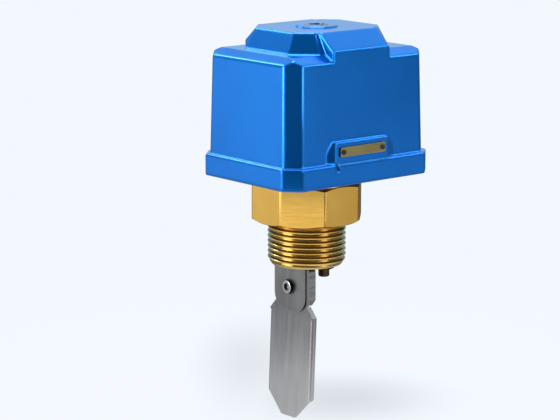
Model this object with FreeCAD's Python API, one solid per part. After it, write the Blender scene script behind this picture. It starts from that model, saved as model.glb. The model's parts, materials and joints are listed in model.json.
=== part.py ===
import FreeCAD, Part

# Paddle flow switch: a pipe-thread brass body carries a sprung lever with a stainless paddle in
# the pipe, and above it a cast housing that holds the range spring and a snap switch.
#
# Millimetres. +Z points up, out of the pipe. +X is the direction of flow. -Y is the nameplate side.
# Heights here are measured from the shoulder where the thread meets the octagon. The finished
# solids are lifted at the end, so that the origin lies on the axis half-way down the thread.

import math
import os

from FreeCAD import Vector

os.makedirs("parts", exist_ok=True)

# ---------------------------------------------------------------- driving dimensions
# Pipe end
thread_r = 16.7              # 1 inch pipe thread, outside radius
thread_length = 19.0
thread_lead = 1.6            # chamfer that starts the thread
thread_runout = 1.2          # plain neck under the shoulder
thread_neck = 1.5            # depth of that neck, and the 45 degree run back out of it
body_flats = 45.25           # octagon, across flats
body_bore_r = 12.5           # chamber that the lever swings in
bore_chamfer = 0.9
octagon_chamfer = 0.6        # flat left inside the turned corners' cone
octagon_angle = math.radians(30)
throat_r = 6.2               # hole through the body's top web
web_t = 3.2                  # top web of the body
seat_r = 21.4                # turned seat that carries the housing
seat_h = 1.0

# Housing
housing_x = 5.2              # the housing stands off centre, to leave room for the wiring
rim_length = 80.2
rim_width = 62.4
rim_bottom = 19.2
rim_height = 9.5
rim_step = 1.75              # the wall stands this far inside the rim
rim_round = 1.0              # rounding of the rim's two outer edges
wall_top = 70.4
wall_draft = math.radians(1.2)
corner_cut = 5.4             # 45 degree cut on each upright corner
rim_corner = 6.1             # the same on the rim
bevel_run = 5.0              # bevel between wall and roof
bevel_rise = 2.9
cover_t = 1.8
edge_r = 1.4                 # rounding of the walls' upright edges and eaves
crown_r = 0.7                # rounding of the raised block's and the brows' edges

# Raised block on the roof
hip_rise = 8.6               # above the roof
hip_run_x = 4.5              # its sides splay out this far towards the roof
hip_run_y = 5.0
hip_base_cut = 9.3
hip_top_length = 46.4
hip_top_width = 36.8
hip_top_cut = 6.0
hip_wall_x = 1.12            # level thickness of its sloping walls, of the cover's
hip_wall_y = 1.24
hip_wall_cut = 0.5
brow_margin = 1.7            # the two brows run out flush with the long walls, inside the block's cuts
brow_drop = 6.9              # from the block's top to the top of a brow's upright face
brow_top_reach = 2.0         # a brow's slope ends this far outside the block's top
disc_r = 9.0                 # low round pad for the cover screw
disc_h = 0.6

# Nameplate boss on the rim
boss_left = 16.0             # from the housing's centre
boss_right = 13.0
boss_height = 9.0
boss_splay = 8.0             # its ends widen towards the rim, measured 3 mm behind its face
boss_setback = 0.4           # behind the rim's face
notch_width = 1.0
notch_length = 3.4
notch_tilt = 20.0
nameplate_length = 24.6
nameplate_height = 4.0
nameplate_t = 0.4
nameplate_z = 33.6
nameplate_corner = 0.8
pin_r = 1.1                  # drive pin's head
pin_head_h = 0.6
pin_reach = 1.4
pin_inset = 1.6              # pin's centre to the plate's end

# Base plate
rim_recess = 1.8             # the plate lies this far above the rim's edge
plate_t = 2.0
lip_t = 2.0
skirt_gap = 0.35
cover_gasket_t = 1.5
body_gasket_t = 0.6
stem_hole_r = 5.2

# Conduit entry
conduit_r = 11.1             # hole for a 1/2 inch conduit connector
conduit_z = 41.0
tab_r = 17.5
tab_t = 2.0
slot_r = 14.6                # open slot in the cover round the connector
slot_start = 12.0            # the cutter for that slot starts this far inside the rim's end
slot_run = 20.0              # and goes out past it
tab_gap = 0.35
gusset_t = 2.0
gusset_run = 7.0
gusset_rise = 11.2

# Frame
frame_t = 2.0
frame_inner = 9.0            # half the width between its legs
frame_left = -7.0
frame_right = 18.0
frame_height = 35.0          # above the plate
frame_bend_r = 2.6
foot_reach = 8.0
foot_margin = 4.5            # from a screw to the end of its foot
foot_corner = 3.0
window_left = 10.0           # window in each leg, from the leg's edges
window_right = 5.0
window_drop = 9.0            # from the frame's top
window_rise = 6.5            # above the pivot
window_corner = 2.5
leg_slope = 9.0              # the legs' lower corners are cut away on the conduit side
body_screw_edge = 3.09       # from the seat's edge
body_screw_y = 15.0

# Lever, pivot and stop
pivot_height = 6.0           # above the plate's top face
pivot_r = 1.5
pivot_head = 1.0             # radius and height that the pin's head adds
pivot_tail = 1.6             # the pin's end beyond the frame, for its clip
groove_share = 0.7           # groove's floor, of the pin's radius
groove_t = 0.6
clip_t = 0.5
running_gap = 0.05
hub_r = 4.0
hub_gap = 0.3
arm_t = 3.0
arm_width = 8.0
arm_corner = 2.5
arm_reach = 3.0              # arm beyond the spring's centre
nose_x = -14.0
nose_r = 2.0
spring_x = 13.0
peg_r = 1.6
peg_h = 2.5
stem_r = 3.0
jog_top = -5.0
jog_bottom = -13.0
jog_rise = 4.0               # flats carried up the stem, above the jog
bar_back = -3.6
bar_t = 3.8
tang_width = 9.0
bar_width = 20.3
bar_top = -19.6
bar_bottom = -35.3
bar_bevel = 2.0
bar_corner = 1.8
stop_x = 9.7
stop_r = 2.4
stop_drop = 7.6
stop_neck_r = 0.85           # where the lug narrows on to the body's end face
stop_link_drop = 4.7
stop_stem_r = 0.8            # pressed into the body's wall
stop_stem_length = 3.0

# Paddle
blade_t = 1.2
blade_width = 28.3            # its corners swing inside the bore that the thread screws into
shoulder_top = -35.7
shoulder_drop = 4.4
flange_depth = 2.2
bend_r = 1.3
set_height = -40.0           # the blade is set forward a little below here
set_angle = math.radians(2.4)
blade_bottom = -85.2
blade_cut = 9.8
clamp_t = 0.8
clamp_bottom = -39.1
clamp_corner = 7.6
paddle_screw_z = -28.2
paddle_screw_r = 2.0
paddle_head_r = 2.8
paddle_head_h = 1.5
paddle_washer_r = 3.4
paddle_washer_t = 0.5
washer_gap = 0.2

# Bellows
bellows_top = 15.0
bellows_bottom = 1.0
bellows_r = 6.5
bellows_depth = 1.8
bellows_turns = 5
bellows_wall = 0.35

# Snap switch
switch_clear = 1.5           # between the switch and the housing's end wall
switch_width = 10.3
switch_height = 16.0
switch_right = -1.0
leaf_gap = 0.2
leaf_t = 0.6
leaf_width = 4.2
leaf_pivot_inset = 2.0       # from the switch's left end
leaf_end_x = -12.0
leaf_pin_r = 0.75
ear_t = 2.0
ear_reach = 1.65
plunger_inset = 8.0
plunger_r = 1.3
plunger_free = 1.8
plunger_depth = 6.0
mount_hole_inset = 2.9
mount_hole_z = 4.5
mount_screw_r = 1.5
terminal_margin = 0.8        # the outer terminals overhang by half of this
terminal_t = 1.2
barrier_t = 1.0
barrier_h = 4.4
terminal_half = 3.4          # half width of a terminal plate
terminal_front = 4.4
terminal_back = 3.6
terminal_upstand = 3.4
bracket_t = 1.6
bracket_h = 23.0
bracket_foot = 12.5
bracket_foot_clear = 2.0     # to the frame's foot
bracket_foot_corner = 2.0
bracket_step = 7.0           # the upright is cut away to this height above the pivot
bracket_screw_pitch = 6.4

# Range spring and its screw
spring_wire_r = 0.5
spring_mean_r = 3.1
spring_turns = 7.0
spring_top_z = 43.0
spring_seat_r = 4.3
spring_seat_t = 2.4
range_screw_r = 2.0
range_head_r = 3.3
range_head_h = 2.8
spring_gap = 0.1

# Cover screw and post
post_flats = 8.0
spigot_share = 0.3           # radius of the post's spigot, of its flats
post_drop = 5.9              # from the block's top to the post's top
cover_screw_r = 2.0
cover_head_r = 3.0
head_recess = 1.2
counterbore_r = 3.3
eyelet_r = 5.0
eyelet_t = 0.5
screw_boss_r = 5.6
screw_floor_t = 2.0
cover_screw_reach = 9.0

# Screws
body_shank_r = 2.0
body_head_r = 3.4
body_head_h = 2.6
body_screw_reach = 8.0
small_shank_r = 1.5
small_head_r = 2.7
small_head_h = 1.8
ground_inset = 10.9          # from the housing's inner end wall
ground_edge = 11.2           # from the side of the rim
ground_head_r = 3.6
thread_gap = 0.05            # radial clearance round each screw's shank
socket_flats = 3.0
socket_depth = 2.0
terminal_screw_reach = 4.5

# ---------------------------------------------------------------- derived levels and places
plate_bottom = rim_bottom + rim_recess
plate_top = plate_bottom + plate_t
rim_top = rim_bottom + rim_height
roof_z = wall_top + bevel_rise
hip_top = roof_z + hip_rise
brow_face_top = hip_top - brow_drop
brow_top_y = hip_top_width / 2 + brow_top_reach
post_top = hip_top - post_drop
body_top = plate_bottom - body_gasket_t
octagon_top = body_top - seat_h
thread_end = -thread_length
neck_foot = -thread_runout - thread_neck
origin_z = (neck_foot + thread_end + thread_lead) / 2
stop_wall_x = (body_bore_r + bore_chamfer + thread_r - thread_lead) / 2
pivot_z = plate_top + pivot_height
frame_top = plate_top + frame_height
body_screw_x = math.sqrt((seat_r - body_screw_edge) ** 2 - body_screw_y ** 2)
foot_half = body_screw_x + foot_margin
rim_half_x = rim_length / 2
rim_half_y = rim_width / 2
ground_y = ground_edge - rim_half_y
wall_slope = math.tan(wall_draft)
shoulder_z = rim_top - cover_t
lip_top = shoulder_z - cover_gasket_t
arm_top = pivot_z + arm_t / 6
arm_bottom = arm_top - arm_t
bar_front = bar_back - bar_t
blade_front = bar_front - blade_t
clamp_front = blade_front - clamp_t
leaf_z = pivot_z + nose_r + leaf_gap + leaf_t / 2
switch_bottom = leaf_z + leaf_t / 2 + plunger_free
switch_top = switch_bottom + switch_height
inner_half_x = rim_half_x - rim_step - cover_t - (wall_top - rim_top) * wall_slope
switch_left = housing_x - inner_half_x + switch_clear
switch_length = switch_right - switch_left
leaf_pivot_x = switch_left + leaf_pivot_inset
plunger_x = switch_left + plunger_inset
terminal_pitch = (switch_length + terminal_margin) / 3
bracket_foot_length = -foot_half - bracket_foot_clear - switch_left
ground_x = housing_x + inner_half_x - ground_inset
brow_width = hip_top_length - 2 * (hip_top_cut + brow_margin)
eyelet_z = hip_top + disc_h
X_AXIS = Vector(1, 0, 0)
Y_AXIS = Vector(0, 1, 0)
Z_AXIS = Vector(0, 0, 1)


# ---------------------------------------------------------------- helpers
def cylinder(radius, start, end):
    """A round bar from one point to another."""
    start = Vector(*start)
    run = Vector(*end) - start
    return Part.makeCylinder(radius, run.Length, start, run)


def cone(r_start, r_end, start, end):
    """A straight taper from one point to another."""
    start = Vector(*start)
    run = Vector(*end) - start
    return Part.makeCone(r_start, r_end, run.Length, start, run)


def block(low, high):
    """A box between two opposite corners."""
    size = Vector(*high) - Vector(*low)
    return Part.makeBox(size.x, size.y, size.z, Vector(*low))


def prism(points, run):
    """A closed outline, extruded along a vector."""
    corners = [Vector(*p) for p in points]
    face = Part.Face(Part.makePolygon(corners + corners[:1]))
    return face.extrude(Vector(*run))


def revolved(profile):
    """A closed (radius, z) outline, turned about the Z axis."""
    corners = [Vector(r, 0, z) for r, z in profile]
    face = Part.Face(Part.makePolygon(corners + corners[:1]))
    return face.revolve(Vector(0, 0, 0), Z_AXIS, 360)


def polygon_bar(flats, sides, start, end):
    """A regular bar, with two flats square to X or Y, from one point to another."""
    reach = flats / 2 / math.cos(math.pi / sides)
    run = Vector(*end) - Vector(*start)
    if abs(run.x) > abs(run.z):
        across, up = Y_AXIS, Z_AXIS
    else:
        across, up = X_AXIS, Y_AXIS
    corners = []
    for k in range(sides):
        turn = math.pi * (2 * k + 1) / sides
        sideways = across * (reach * math.cos(turn))
        corners.append(Vector(*start) + sideways + up * (reach * math.sin(turn)))
    face = Part.Face(Part.makePolygon(corners + corners[:1]))
    return face.extrude(run)


def cut_rectangle(half_x, half_y, cut, z):
    """A rectangle about the housing's centre with its corners cut at 45 degrees."""
    corners = []
    for sx, sy in ((1, 1), (-1, 1), (-1, -1), (1, -1)):
        on_side = Vector(housing_x + sx * half_x, sy * (half_y - cut), z)
        on_end = Vector(housing_x + sx * (half_x - cut), sy * half_y, z)
        corners += [on_side, on_end] if sx * sy > 0 else [on_end, on_side]
    return corners


def rectangle(half_x, half_y, z):
    """A plain rectangle about the housing's centre."""
    turns = ((1, 1), (-1, 1), (-1, -1), (1, -1))
    return [Vector(housing_x + sx * half_x, sy * half_y, z) for sx, sy in turns]


def flat_solid(outlines):
    """A closed solid from the corner lists of its flat faces."""
    faces = [Part.Face(Part.makePolygon(corners + corners[:1])) for corners in outlines]
    shell = Part.makeShell(faces)
    solid = Part.makeSolid(shell)
    if solid.Volume < 0:
        solid.reverse()
    return solid


def frustum(rings):
    """A flat-sided solid through a stack of rings that have the same number of corners."""
    outlines = [rings[0][::-1], rings[-1]]
    for low, high in zip(rings, rings[1:]):
        for k in range(len(low)):
            after = (k + 1) % len(low)
            outlines.append([low[k], low[after], high[after], high[k]])
    return flat_solid(outlines)


def joined(shapes):
    """Several overlapping solids as one, with flush faces merged."""
    whole = shapes[0]
    for shape in shapes[1:]:
        whole = whole.fuse(shape)
    return whole.removeSplitter()


def without(shape, cutters):
    """A solid with the cutters taken out of it, one after the other."""
    for cutter in cutters:
        shape = shape.cut(cutter)
    return shape.removeSplitter()


def group(solids):
    """Separate solids of one node."""
    return Part.makeCompound(solids)


def mirrored_y(shape):
    return shape.mirror(Vector(0, 0, 0), Y_AXIS)


def rounded(shape, radius, chosen):
    """The shape with a fillet on the edges that the test picks."""
    edges = [edge for edge in shape.Edges if chosen(edge)]
    return shape.makeFillet(radius, edges)


def screw(seat, into, shank_r, reach, head_r, head_h):
    """A slotted cheese-head screw: seat is under its head, into is the way it goes in."""
    seat = Vector(*seat)
    into = Vector(*into)
    shank = Part.makeCylinder(shank_r, reach, seat, into)
    head = Part.makeCylinder(head_r, head_h, seat, into * -1)
    head = rounded(head, head_h * 0.3, lambda e: (e.CenterOfMass - seat).dot(into) < -head_h * 0.9)
    slot_w = head_r * 0.34
    slot_d = head_h * 0.45
    slot = Part.makeBox(2 * head_r + 2, slot_w, slot_d, Vector(-head_r - 1, -slot_w / 2, 0))
    turned = FreeCAD.Placement(seat - into * head_h, FreeCAD.Rotation(Z_AXIS, into))
    slot.Placement = turned * slot.Placement
    return joined([shank, head.cut(slot)])


# ---------------------------------------------------------------- the housing's form
def wall_half(z, inset):
    """Half length and half width of the drafted wall at a height, moved in by the inset."""
    shrink = rim_step + (z - rim_top) * wall_slope + inset
    return rim_half_x - shrink, rim_half_y - shrink


def hip_block(inset):
    """The raised block with its splayed sides and cut corners."""
    top = hip_top - inset
    foot = roof_z - inset

    def ring(z, share):
        half_x = hip_top_length / 2 + hip_run_x * share - inset * hip_wall_x
        half_y = hip_top_width / 2 + hip_run_y * share - inset * hip_wall_y
        cut = hip_top_cut + (hip_base_cut - hip_top_cut) * share - inset * hip_wall_cut
        return cut_rectangle(half_x, half_y, cut, z)

    return frustum([ring(foot - 1.0, 1.0), ring(foot, 1.0), ring(top, 0.0)])


def brow(inset):
    """The front brow: its face is flush with the long wall and it slopes back to the block's top."""
    foot = wall_top - 4.0
    face_top = brow_face_top - inset * 0.4
    top = hip_top - inset
    y_foot = wall_half(foot, inset)[1]
    y_face = wall_half(face_top, inset)[1]
    x_start = housing_x - brow_width / 2 + inset
    outline = [(x_start, 0, foot), (x_start, -y_foot, foot), (x_start, -y_face, face_top),
               (x_start, -brow_top_y + inset * 0.3, top), (x_start, 0, top)]
    return prism(outline, (brow_width - 2 * inset, 0, 0))


def cover_form(inset):
    """The housing's outer form above the rim, or its inner form for an inset of one wall."""
    bevel = math.atan2(bevel_rise, bevel_run)
    low = rim_top - 2.0 if inset == 0 else shoulder_z - 0.5
    edge = wall_top + inset * math.tan(bevel) - inset / math.cos(bevel)
    roof = roof_z - inset
    low_x, low_y = wall_half(low, inset)
    edge_x, edge_y = wall_half(edge, inset)
    run = (roof - edge) / math.tan(bevel)
    form = frustum([rectangle(low_x, low_y, low), rectangle(edge_x, edge_y, edge),
                    rectangle(edge_x - run, edge_y - run, roof)])
    # The corner cuts go right up through the bevel, which leaves a pointed facet at each corner.
    spare = 6.0
    cut = corner_cut - inset * (2 - math.sqrt(2)) + 2 * spare
    rings = []
    for z in (low - 1.0, roof + 1.0):
        half_x, half_y = wall_half(z, inset)
        rings.append(cut_rectangle(half_x + spare, half_y + spare, cut, z))
    form = form.common(frustum(rings))
    front = brow(inset)
    return joined([form, hip_block(inset), front, mirrored_y(front)])


def skirt(inset, low, high):
    """The rim's band between two heights."""
    cut = rim_corner - inset * (2 - math.sqrt(2))
    half_x = rim_half_x - inset
    half_y = rim_half_y - inset
    return frustum([cut_rectangle(half_x, half_y, cut, low), cut_rectangle(half_x, half_y, cut, high)])


def nameplate_boss():
    """A boss above the rim, whose ends splay out towards the foot as three-cornered facets."""
    face = -rim_half_y + boss_setback
    back = face + 3.0
    foot = rim_top - rim_round
    top = rim_top + boss_height
    left = housing_x - boss_left
    right = housing_x + boss_right
    front_low = [Vector(left, face, foot), Vector(right, face, foot)]
    front_high = [Vector(left, face, top), Vector(right, face, top)]
    wing = [Vector(left - boss_splay, back, foot), Vector(right + boss_splay, back, foot)]
    crown = [Vector(left - 0.3, back, top), Vector(right + 0.3, back, top)]
    return flat_solid([front_low + front_high[::-1], front_high + crown[::-1], wing + front_low[::-1],
                       crown + wing[::-1], [front_low[0], front_high[0], wing[0]],
                       [front_high[0], crown[0], wing[0]], [front_low[1], wing[1], front_high[1]],
                       [front_high[1], wing[1], crown[1]]])


def pry_notch():
    """A small slanting notch in the rim, under the boss's left end."""
    bar = Part.makeBox(notch_width, 2.0, notch_length, Vector(-notch_width / 2, -1.0, -notch_length))
    bar.rotate(Vector(0, 0, 0), Y_AXIS, -notch_tilt)
    bar.translate(Vector(housing_x - boss_left + 0.2, -rim_half_y - 0.2, rim_top + 0.3))
    return bar


def slot_cutter():
    """The open slot in the cover's end wall that passes the conduit connector."""
    start = housing_x + rim_half_x - slot_start
    end = start + slot_run
    arch = cylinder(slot_r, (start, 0, conduit_z), (end, 0, conduit_z))
    straight = block((start, -slot_r, rim_bottom - 1.0), (end, slot_r, conduit_z))
    return arch.fuse(straight)


def cover():
    rim = rounded(skirt(0, rim_bottom, rim_top), rim_round, lambda e: abs(e.tangentAt(0).z) < 0.1)
    form = round_cast_edges(cover_form(0))
    outer = joined([rim, form, nameplate_boss()])
    pad = cylinder(disc_r, (housing_x, 0, hip_top - 1.0), (housing_x, 0, eyelet_z))
    pad = rounded(pad, disc_h * 0.6, lambda e: e.CenterOfMass.z > eyelet_z - 0.01)
    outer = joined([outer, pad])
    inner = cover_form(cover_t).fuse(skirt(cover_t, rim_bottom - 1.0, shoulder_z))
    boss = cylinder(screw_boss_r, (housing_x, 0, post_top), (housing_x, 0, hip_top - cover_t / 2))
    shell = joined([outer.cut(inner), boss])
    floor = post_top + screw_floor_t
    seat = cylinder(eyelet_r, (housing_x, 0, eyelet_z - eyelet_t), (housing_x, 0, eyelet_z + 1.0))
    bore = cylinder(counterbore_r, (housing_x, 0, floor), (housing_x, 0, eyelet_z + 1.0))
    hole = cylinder(cover_screw_r + thread_gap, (housing_x, 0, post_top - 1.0), (housing_x, 0, floor + 1.0))
    shell = without(shell, [seat, bore, hole, slot_cutter(), pry_notch()])
    return without(shell, [solid for solid in nameplate_pins_at(thread_gap).Solids])


def round_cast_edges(outer):
    """Soft edges on the visible outside of the casting: the walls and the raised block."""
    def spans(edge):
        heights = [vertex.Z for vertex in edge.Vertexes]
        return min(heights), max(heights)

    def upright(edge):
        low, high = spans(edge)
        return high - low > (wall_top - rim_top) / 2

    def crown(edge):
        low, high = spans(edge)
        return high > hip_top - 0.01 or (low > brow_face_top - 0.5 and high < brow_face_top + 0.5)

    def eaves(edge):
        low, high = spans(edge)
        return abs(low - wall_top) < 0.01 and high < roof_z - 0.5

    for radius, chosen in ((edge_r, upright), (edge_r, eaves), (crown_r, crown)):
        outer = rounded(outer, radius, chosen)
    return outer


def nameplate():
    front = -rim_half_y
    centre = housing_x + (boss_right - boss_left) / 2
    half = nameplate_length / 2
    low = nameplate_z - nameplate_height / 2
    high = nameplate_z + nameplate_height / 2
    plate = block((centre - half, front - nameplate_t, low), (centre + half, front, high))
    plate = rounded(plate, nameplate_corner, lambda e: abs(e.tangentAt(e.FirstParameter).y) > 0.9)
    return plate.cut(nameplate_pins_at(thread_gap))


def nameplate_pins_at(gap):
    """Two drive pins through the plate into the boss, grown by a clearance."""
    front = -rim_half_y - nameplate_t
    centre = housing_x + (boss_right - boss_left) / 2
    pins = []
    for side in (-1, 1):
        x = centre + side * (nameplate_length / 2 - pin_inset)
        end = front + nameplate_t + pin_reach
        pins.append(cylinder(pin_r * 0.6 + gap, (x, front - 0.1, nameplate_z), (x, end, nameplate_z)))
    return group(pins)


def nameplate_pins():
    front = -rim_half_y - nameplate_t
    pins = []
    for shank in nameplate_pins_at(0).Solids:
        x = shank.CenterOfMass.x
        head = cylinder(pin_r, (x, front, nameplate_z), (x, front - pin_head_h, nameplate_z))
        head = rounded(head, pin_head_h * 0.65, lambda e: e.CenterOfMass.y < front - pin_head_h * 0.9)
        pins.append(joined([shank, head]))
    return group(pins)


def screw_eyelet():
    ring = cylinder(eyelet_r, (housing_x, 0, eyelet_z - eyelet_t), (housing_x, 0, eyelet_z + 0.2))
    ring = rounded(ring, 0.3, lambda e: e.CenterOfMass.z > eyelet_z + 0.19)
    low = eyelet_z - eyelet_t - 1.0
    return ring.cut(cylinder(counterbore_r, (housing_x, 0, low), (housing_x, 0, eyelet_z + 1.0)))


def cover_screw():
    """A captive socket-head screw, sunk in the pad on the roof."""
    head_bottom = post_top + screw_floor_t
    head_top = hip_top - head_recess
    head = cylinder(cover_head_r, (housing_x, 0, head_bottom), (housing_x, 0, head_top))
    head = rounded(head, 0.4, lambda e: e.CenterOfMass.z > head_top - 0.01)
    socket_foot = head_top - socket_depth
    socket = polygon_bar(socket_flats, 6, (housing_x, 0, socket_foot), (housing_x, 0, head_top + 1.0))
    end = post_top - cover_screw_reach
    shank = cylinder(cover_screw_r, (housing_x, 0, end), (housing_x, 0, head_bottom))
    return joined([head.cut(socket), shank])


# ---------------------------------------------------------------- brass body and base
def brass_body():
    """Octagon, threaded spigot and turned seat in one, with the lever's chamber bored up into it."""
    reach = body_flats / 2 / math.cos(math.pi / 8)
    flat_r = body_flats / 2 - octagon_chamfer
    slope = (reach - flat_r) * math.tan(octagon_angle)
    octagon = polygon_bar(body_flats, 8, (0, 0, 0), (0, 0, octagon_top))
    octagon = octagon.common(revolved([(0, 0), (flat_r, 0), (reach, slope), (reach, octagon_top - slope),
                                       (flat_r, octagon_top), (0, octagon_top)]))
    neck_r = thread_r - thread_neck
    sunk = octagon_top - 0.5
    turned = revolved([(0, thread_end), (thread_r - thread_lead, thread_end),
                       (thread_r, thread_end + thread_lead), (thread_r, neck_foot),
                       (neck_r, -thread_runout), (neck_r, sunk), (seat_r, sunk), (seat_r, body_top),
                       (0, body_top)])
    body = joined([octagon, turned])
    roof = body_top - web_t
    chamber = cylinder(body_bore_r, (0, 0, thread_end - 1.0), (0, 0, roof))
    mouth = cone(body_bore_r + bore_chamfer, body_bore_r, (0, 0, thread_end),
                 (0, 0, thread_end + bore_chamfer))
    throat = cylinder(throat_r, (0, 0, roof - 1.0), (0, 0, body_top + 1.0))
    tapped = []
    for x, y in body_screw_places():
        foot = body_top - body_screw_reach
        tapped.append(cylinder(body_shank_r + thread_gap, (x, y, foot), (x, y, body_top + 1.0)))
    stop_hole = cylinder(stop_stem_r + 0.01, (stop_wall_x, 0, thread_end - 1.0),
                         (stop_wall_x, 0, thread_end + stop_stem_length))
    return without(body, [chamber, mouth, throat, stop_hole] + tapped)


def stop_lug():
    """The lug under the body that the lever meets at full flow, narrowed to its place in the wall."""
    bottom = thread_end - stop_drop
    link_foot = thread_end - stop_link_drop
    head = cylinder(stop_r, (stop_x, 0, bottom), (stop_x, 0, thread_end))
    head = rounded(head, stop_r * 0.3, lambda e: e.CenterOfMass.z < bottom + 0.01)
    outer = cylinder(stop_neck_r, (stop_wall_x, 0, link_foot), (stop_wall_x, 0, thread_end))
    link = prism([(stop_x, -stop_r, link_foot), (stop_wall_x, -stop_neck_r, link_foot),
                  (stop_wall_x, stop_neck_r, link_foot), (stop_x, stop_r, link_foot)],
                 (0, 0, stop_link_drop))
    stem = cylinder(stop_stem_r, (stop_wall_x, 0, thread_end - 0.5),
                    (stop_wall_x, 0, thread_end + stop_stem_length - 0.1))
    return joined([head, link, outer, stem])


def body_screw_places():
    return [(sx * body_screw_x, sy * body_screw_y) for sx in (-1, 1) for sy in (-1, 1)]


def body_gasket():
    ring = cylinder(seat_r - 0.3, (0, 0, body_top), (0, 0, plate_bottom))
    cutters = [cylinder(throat_r + 1.0, (0, 0, body_top - 1.0), (0, 0, plate_bottom + 1.0))]
    hole_r = body_shank_r + 2 * thread_gap
    for x, y in body_screw_places():
        cutters.append(cylinder(hole_r, (x, y, body_top - 1.0), (x, y, plate_bottom + 1.0)))
    return without(ring, cutters)


def body_screws():
    reach = frame_t + plate_t + body_gasket_t + body_screw_reach - 0.5
    seat = plate_top + frame_t
    return group([screw((x, y, seat), (0, 0, -1), body_shank_r, reach, body_head_r, body_head_h)
                  for x, y in body_screw_places()])


def tab_face():
    """Outer face of the upright tab: a clearance inside the drafted wall at the tab's top."""
    return housing_x + wall_half(conduit_z + tab_r, cover_t)[0] - tab_gap


def base_plate():
    """A pressed pan with a raised lip, and an upright tab that holds the conduit connector."""
    inset = cover_t + skirt_gap
    pan = skirt(inset, plate_bottom, lip_top)
    pan = pan.cut(skirt(inset + lip_t, plate_top, lip_top + 1.0))
    face = tab_face()
    back = face - tab_t
    sunk = plate_top - 0.5
    arch = cylinder(tab_r, (back, 0, conduit_z), (face, 0, conduit_z))
    upright = block((back, -tab_r, sunk), (face, tab_r, conduit_z))
    gussets = []
    for side in (-1, 1):
        y = side * (tab_r - gusset_t) - gusset_t / 2
        crest = plate_top + gusset_rise
        gussets.append(prism([(back - gusset_run, y, sunk), (face - 1, y, sunk), (face - 1, y, crest),
                              (back, y, crest)], (0, gusset_t, 0)))
    base = joined([pan, arch, upright] + gussets)
    cutters = [cylinder(conduit_r, (back - 1.0, 0, conduit_z), (face + 1.0, 0, conduit_z))]
    holes = [(0, 0, stem_hole_r), (ground_x, ground_y, body_shank_r + thread_gap)]
    holes += [(x, y, body_shank_r + thread_gap) for x, y in body_screw_places()]
    holes += [(x, y, small_shank_r + thread_gap) for x, y in bracket_screw_places()]
    for x, y, radius in holes:
        cutters.append(cylinder(radius, (x, y, plate_bottom - 1.0), (x, y, plate_top + 1.0)))
    return without(base, cutters)


def cover_gasket():
    inset = cover_t + skirt_gap
    ring = skirt(inset, lip_top, shoulder_z)
    return ring.cut(skirt(inset + lip_t, lip_top - 1.0, shoulder_z + 1.0))


def ground_screw():
    return screw((ground_x, ground_y, plate_top), (0, 0, -1), body_shank_r, plate_t - 0.2,
                 ground_head_r, body_head_h)


# ---------------------------------------------------------------- frame, post and pivot
def frame_bracket():
    """A folded steel bridge: two legs carry the pivot, and its top carries the screw and the post."""
    outer = frame_inner + frame_t
    under = frame_top - frame_t

    def fold(height):
        return lambda e: e.CenterOfMass.z > height - 0.01 and abs(e.tangentAt(0).x) > 0.9

    bridge = block((frame_left, -outer, plate_top), (frame_right, outer, frame_top))
    bridge = rounded(bridge, frame_bend_r, fold(frame_top))
    hollow = block((frame_left - 1.0, -frame_inner, plate_top - 1.0),
                   (frame_right + 1.0, frame_inner, under))
    bridge = bridge.cut(rounded(hollow, frame_bend_r - frame_t, fold(under)))
    feet = []
    for side in (-1, 1):
        near, far = sorted((side * (frame_inner + 0.2), side * (outer + foot_reach)))
        foot = block((-foot_half, near, plate_top), (foot_half, far, plate_top + frame_t))
        feet.append(rounded(foot, foot_corner,
                            lambda e: abs(e.tangentAt(0).z) > 0.9 and abs(e.CenterOfMass.y) > outer + 1))
    bridge = joined([bridge] + feet)
    window = block((frame_left + window_left, -outer - 1.0, pivot_z + window_rise),
                   (frame_right - window_right, outer + 1.0, frame_top - window_drop))
    window = rounded(window, window_corner, lambda e: abs(e.tangentAt(0).y) > 0.9)
    spigot_r = post_flats * spigot_share + running_gap
    step = plate_top + frame_t
    corner = prism([(frame_right + 1, -outer - 1, step), (frame_right - leg_slope, -outer - 1, step),
                    (frame_right + 1, -outer - 1, step + leg_slope)], (0, 2 * outer + 2, 0))
    cutters = [window, corner,
               cylinder(pivot_r + 0.01, (0, -outer - 1.0, pivot_z), (0, outer + 1.0, pivot_z)),
               cylinder(range_screw_r + thread_gap, (spring_x, 0, under - 1.0),
                        (spring_x, 0, frame_top + 1.0)),
               cylinder(spigot_r, (housing_x, 0, under - 1.0), (housing_x, 0, frame_top + 1.0))]
    for x, y in body_screw_places():
        cutters.append(cylinder(body_shank_r + thread_gap, (x, y, plate_top - 1.0), (x, y, step + 1.0)))
    return without(bridge, cutters)


def cover_post():
    """A hexagonal pillar, swaged into the frame's top, that the cover screw goes into."""
    pillar = polygon_bar(post_flats, 6, (housing_x, 0, frame_top), (housing_x, 0, post_top))
    spigot = cylinder(post_flats * spigot_share, (housing_x, 0, frame_top - frame_t),
                      (housing_x, 0, frame_top + 0.5))
    tapped = cylinder(cover_screw_r + thread_gap, (housing_x, 0, post_top - cover_screw_reach - 2.0),
                      (housing_x, 0, post_top + 1.0))
    return joined([pillar, spigot]).cut(tapped)


def pivot_pin():
    """A headed pin through both legs and the lever's hub."""
    outer = frame_inner + frame_t
    shank = cylinder(pivot_r, (0, -outer, pivot_z), (0, outer + pivot_tail, pivot_z))
    head = cylinder(pivot_r + pivot_head, (0, -outer - pivot_head, pivot_z), (0, -outer, pivot_z))
    floor_r = pivot_r * groove_share
    groove = revolved([(floor_r, 0), (pivot_r + 1, 0), (pivot_r + 1, groove_t), (floor_r, groove_t)])
    groove.rotate(Vector(0, 0, 0), X_AXIS, -90)
    groove.translate(Vector(0, outer + groove_t / 2, pivot_z))
    return joined([shank, head]).cut(groove)


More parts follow.
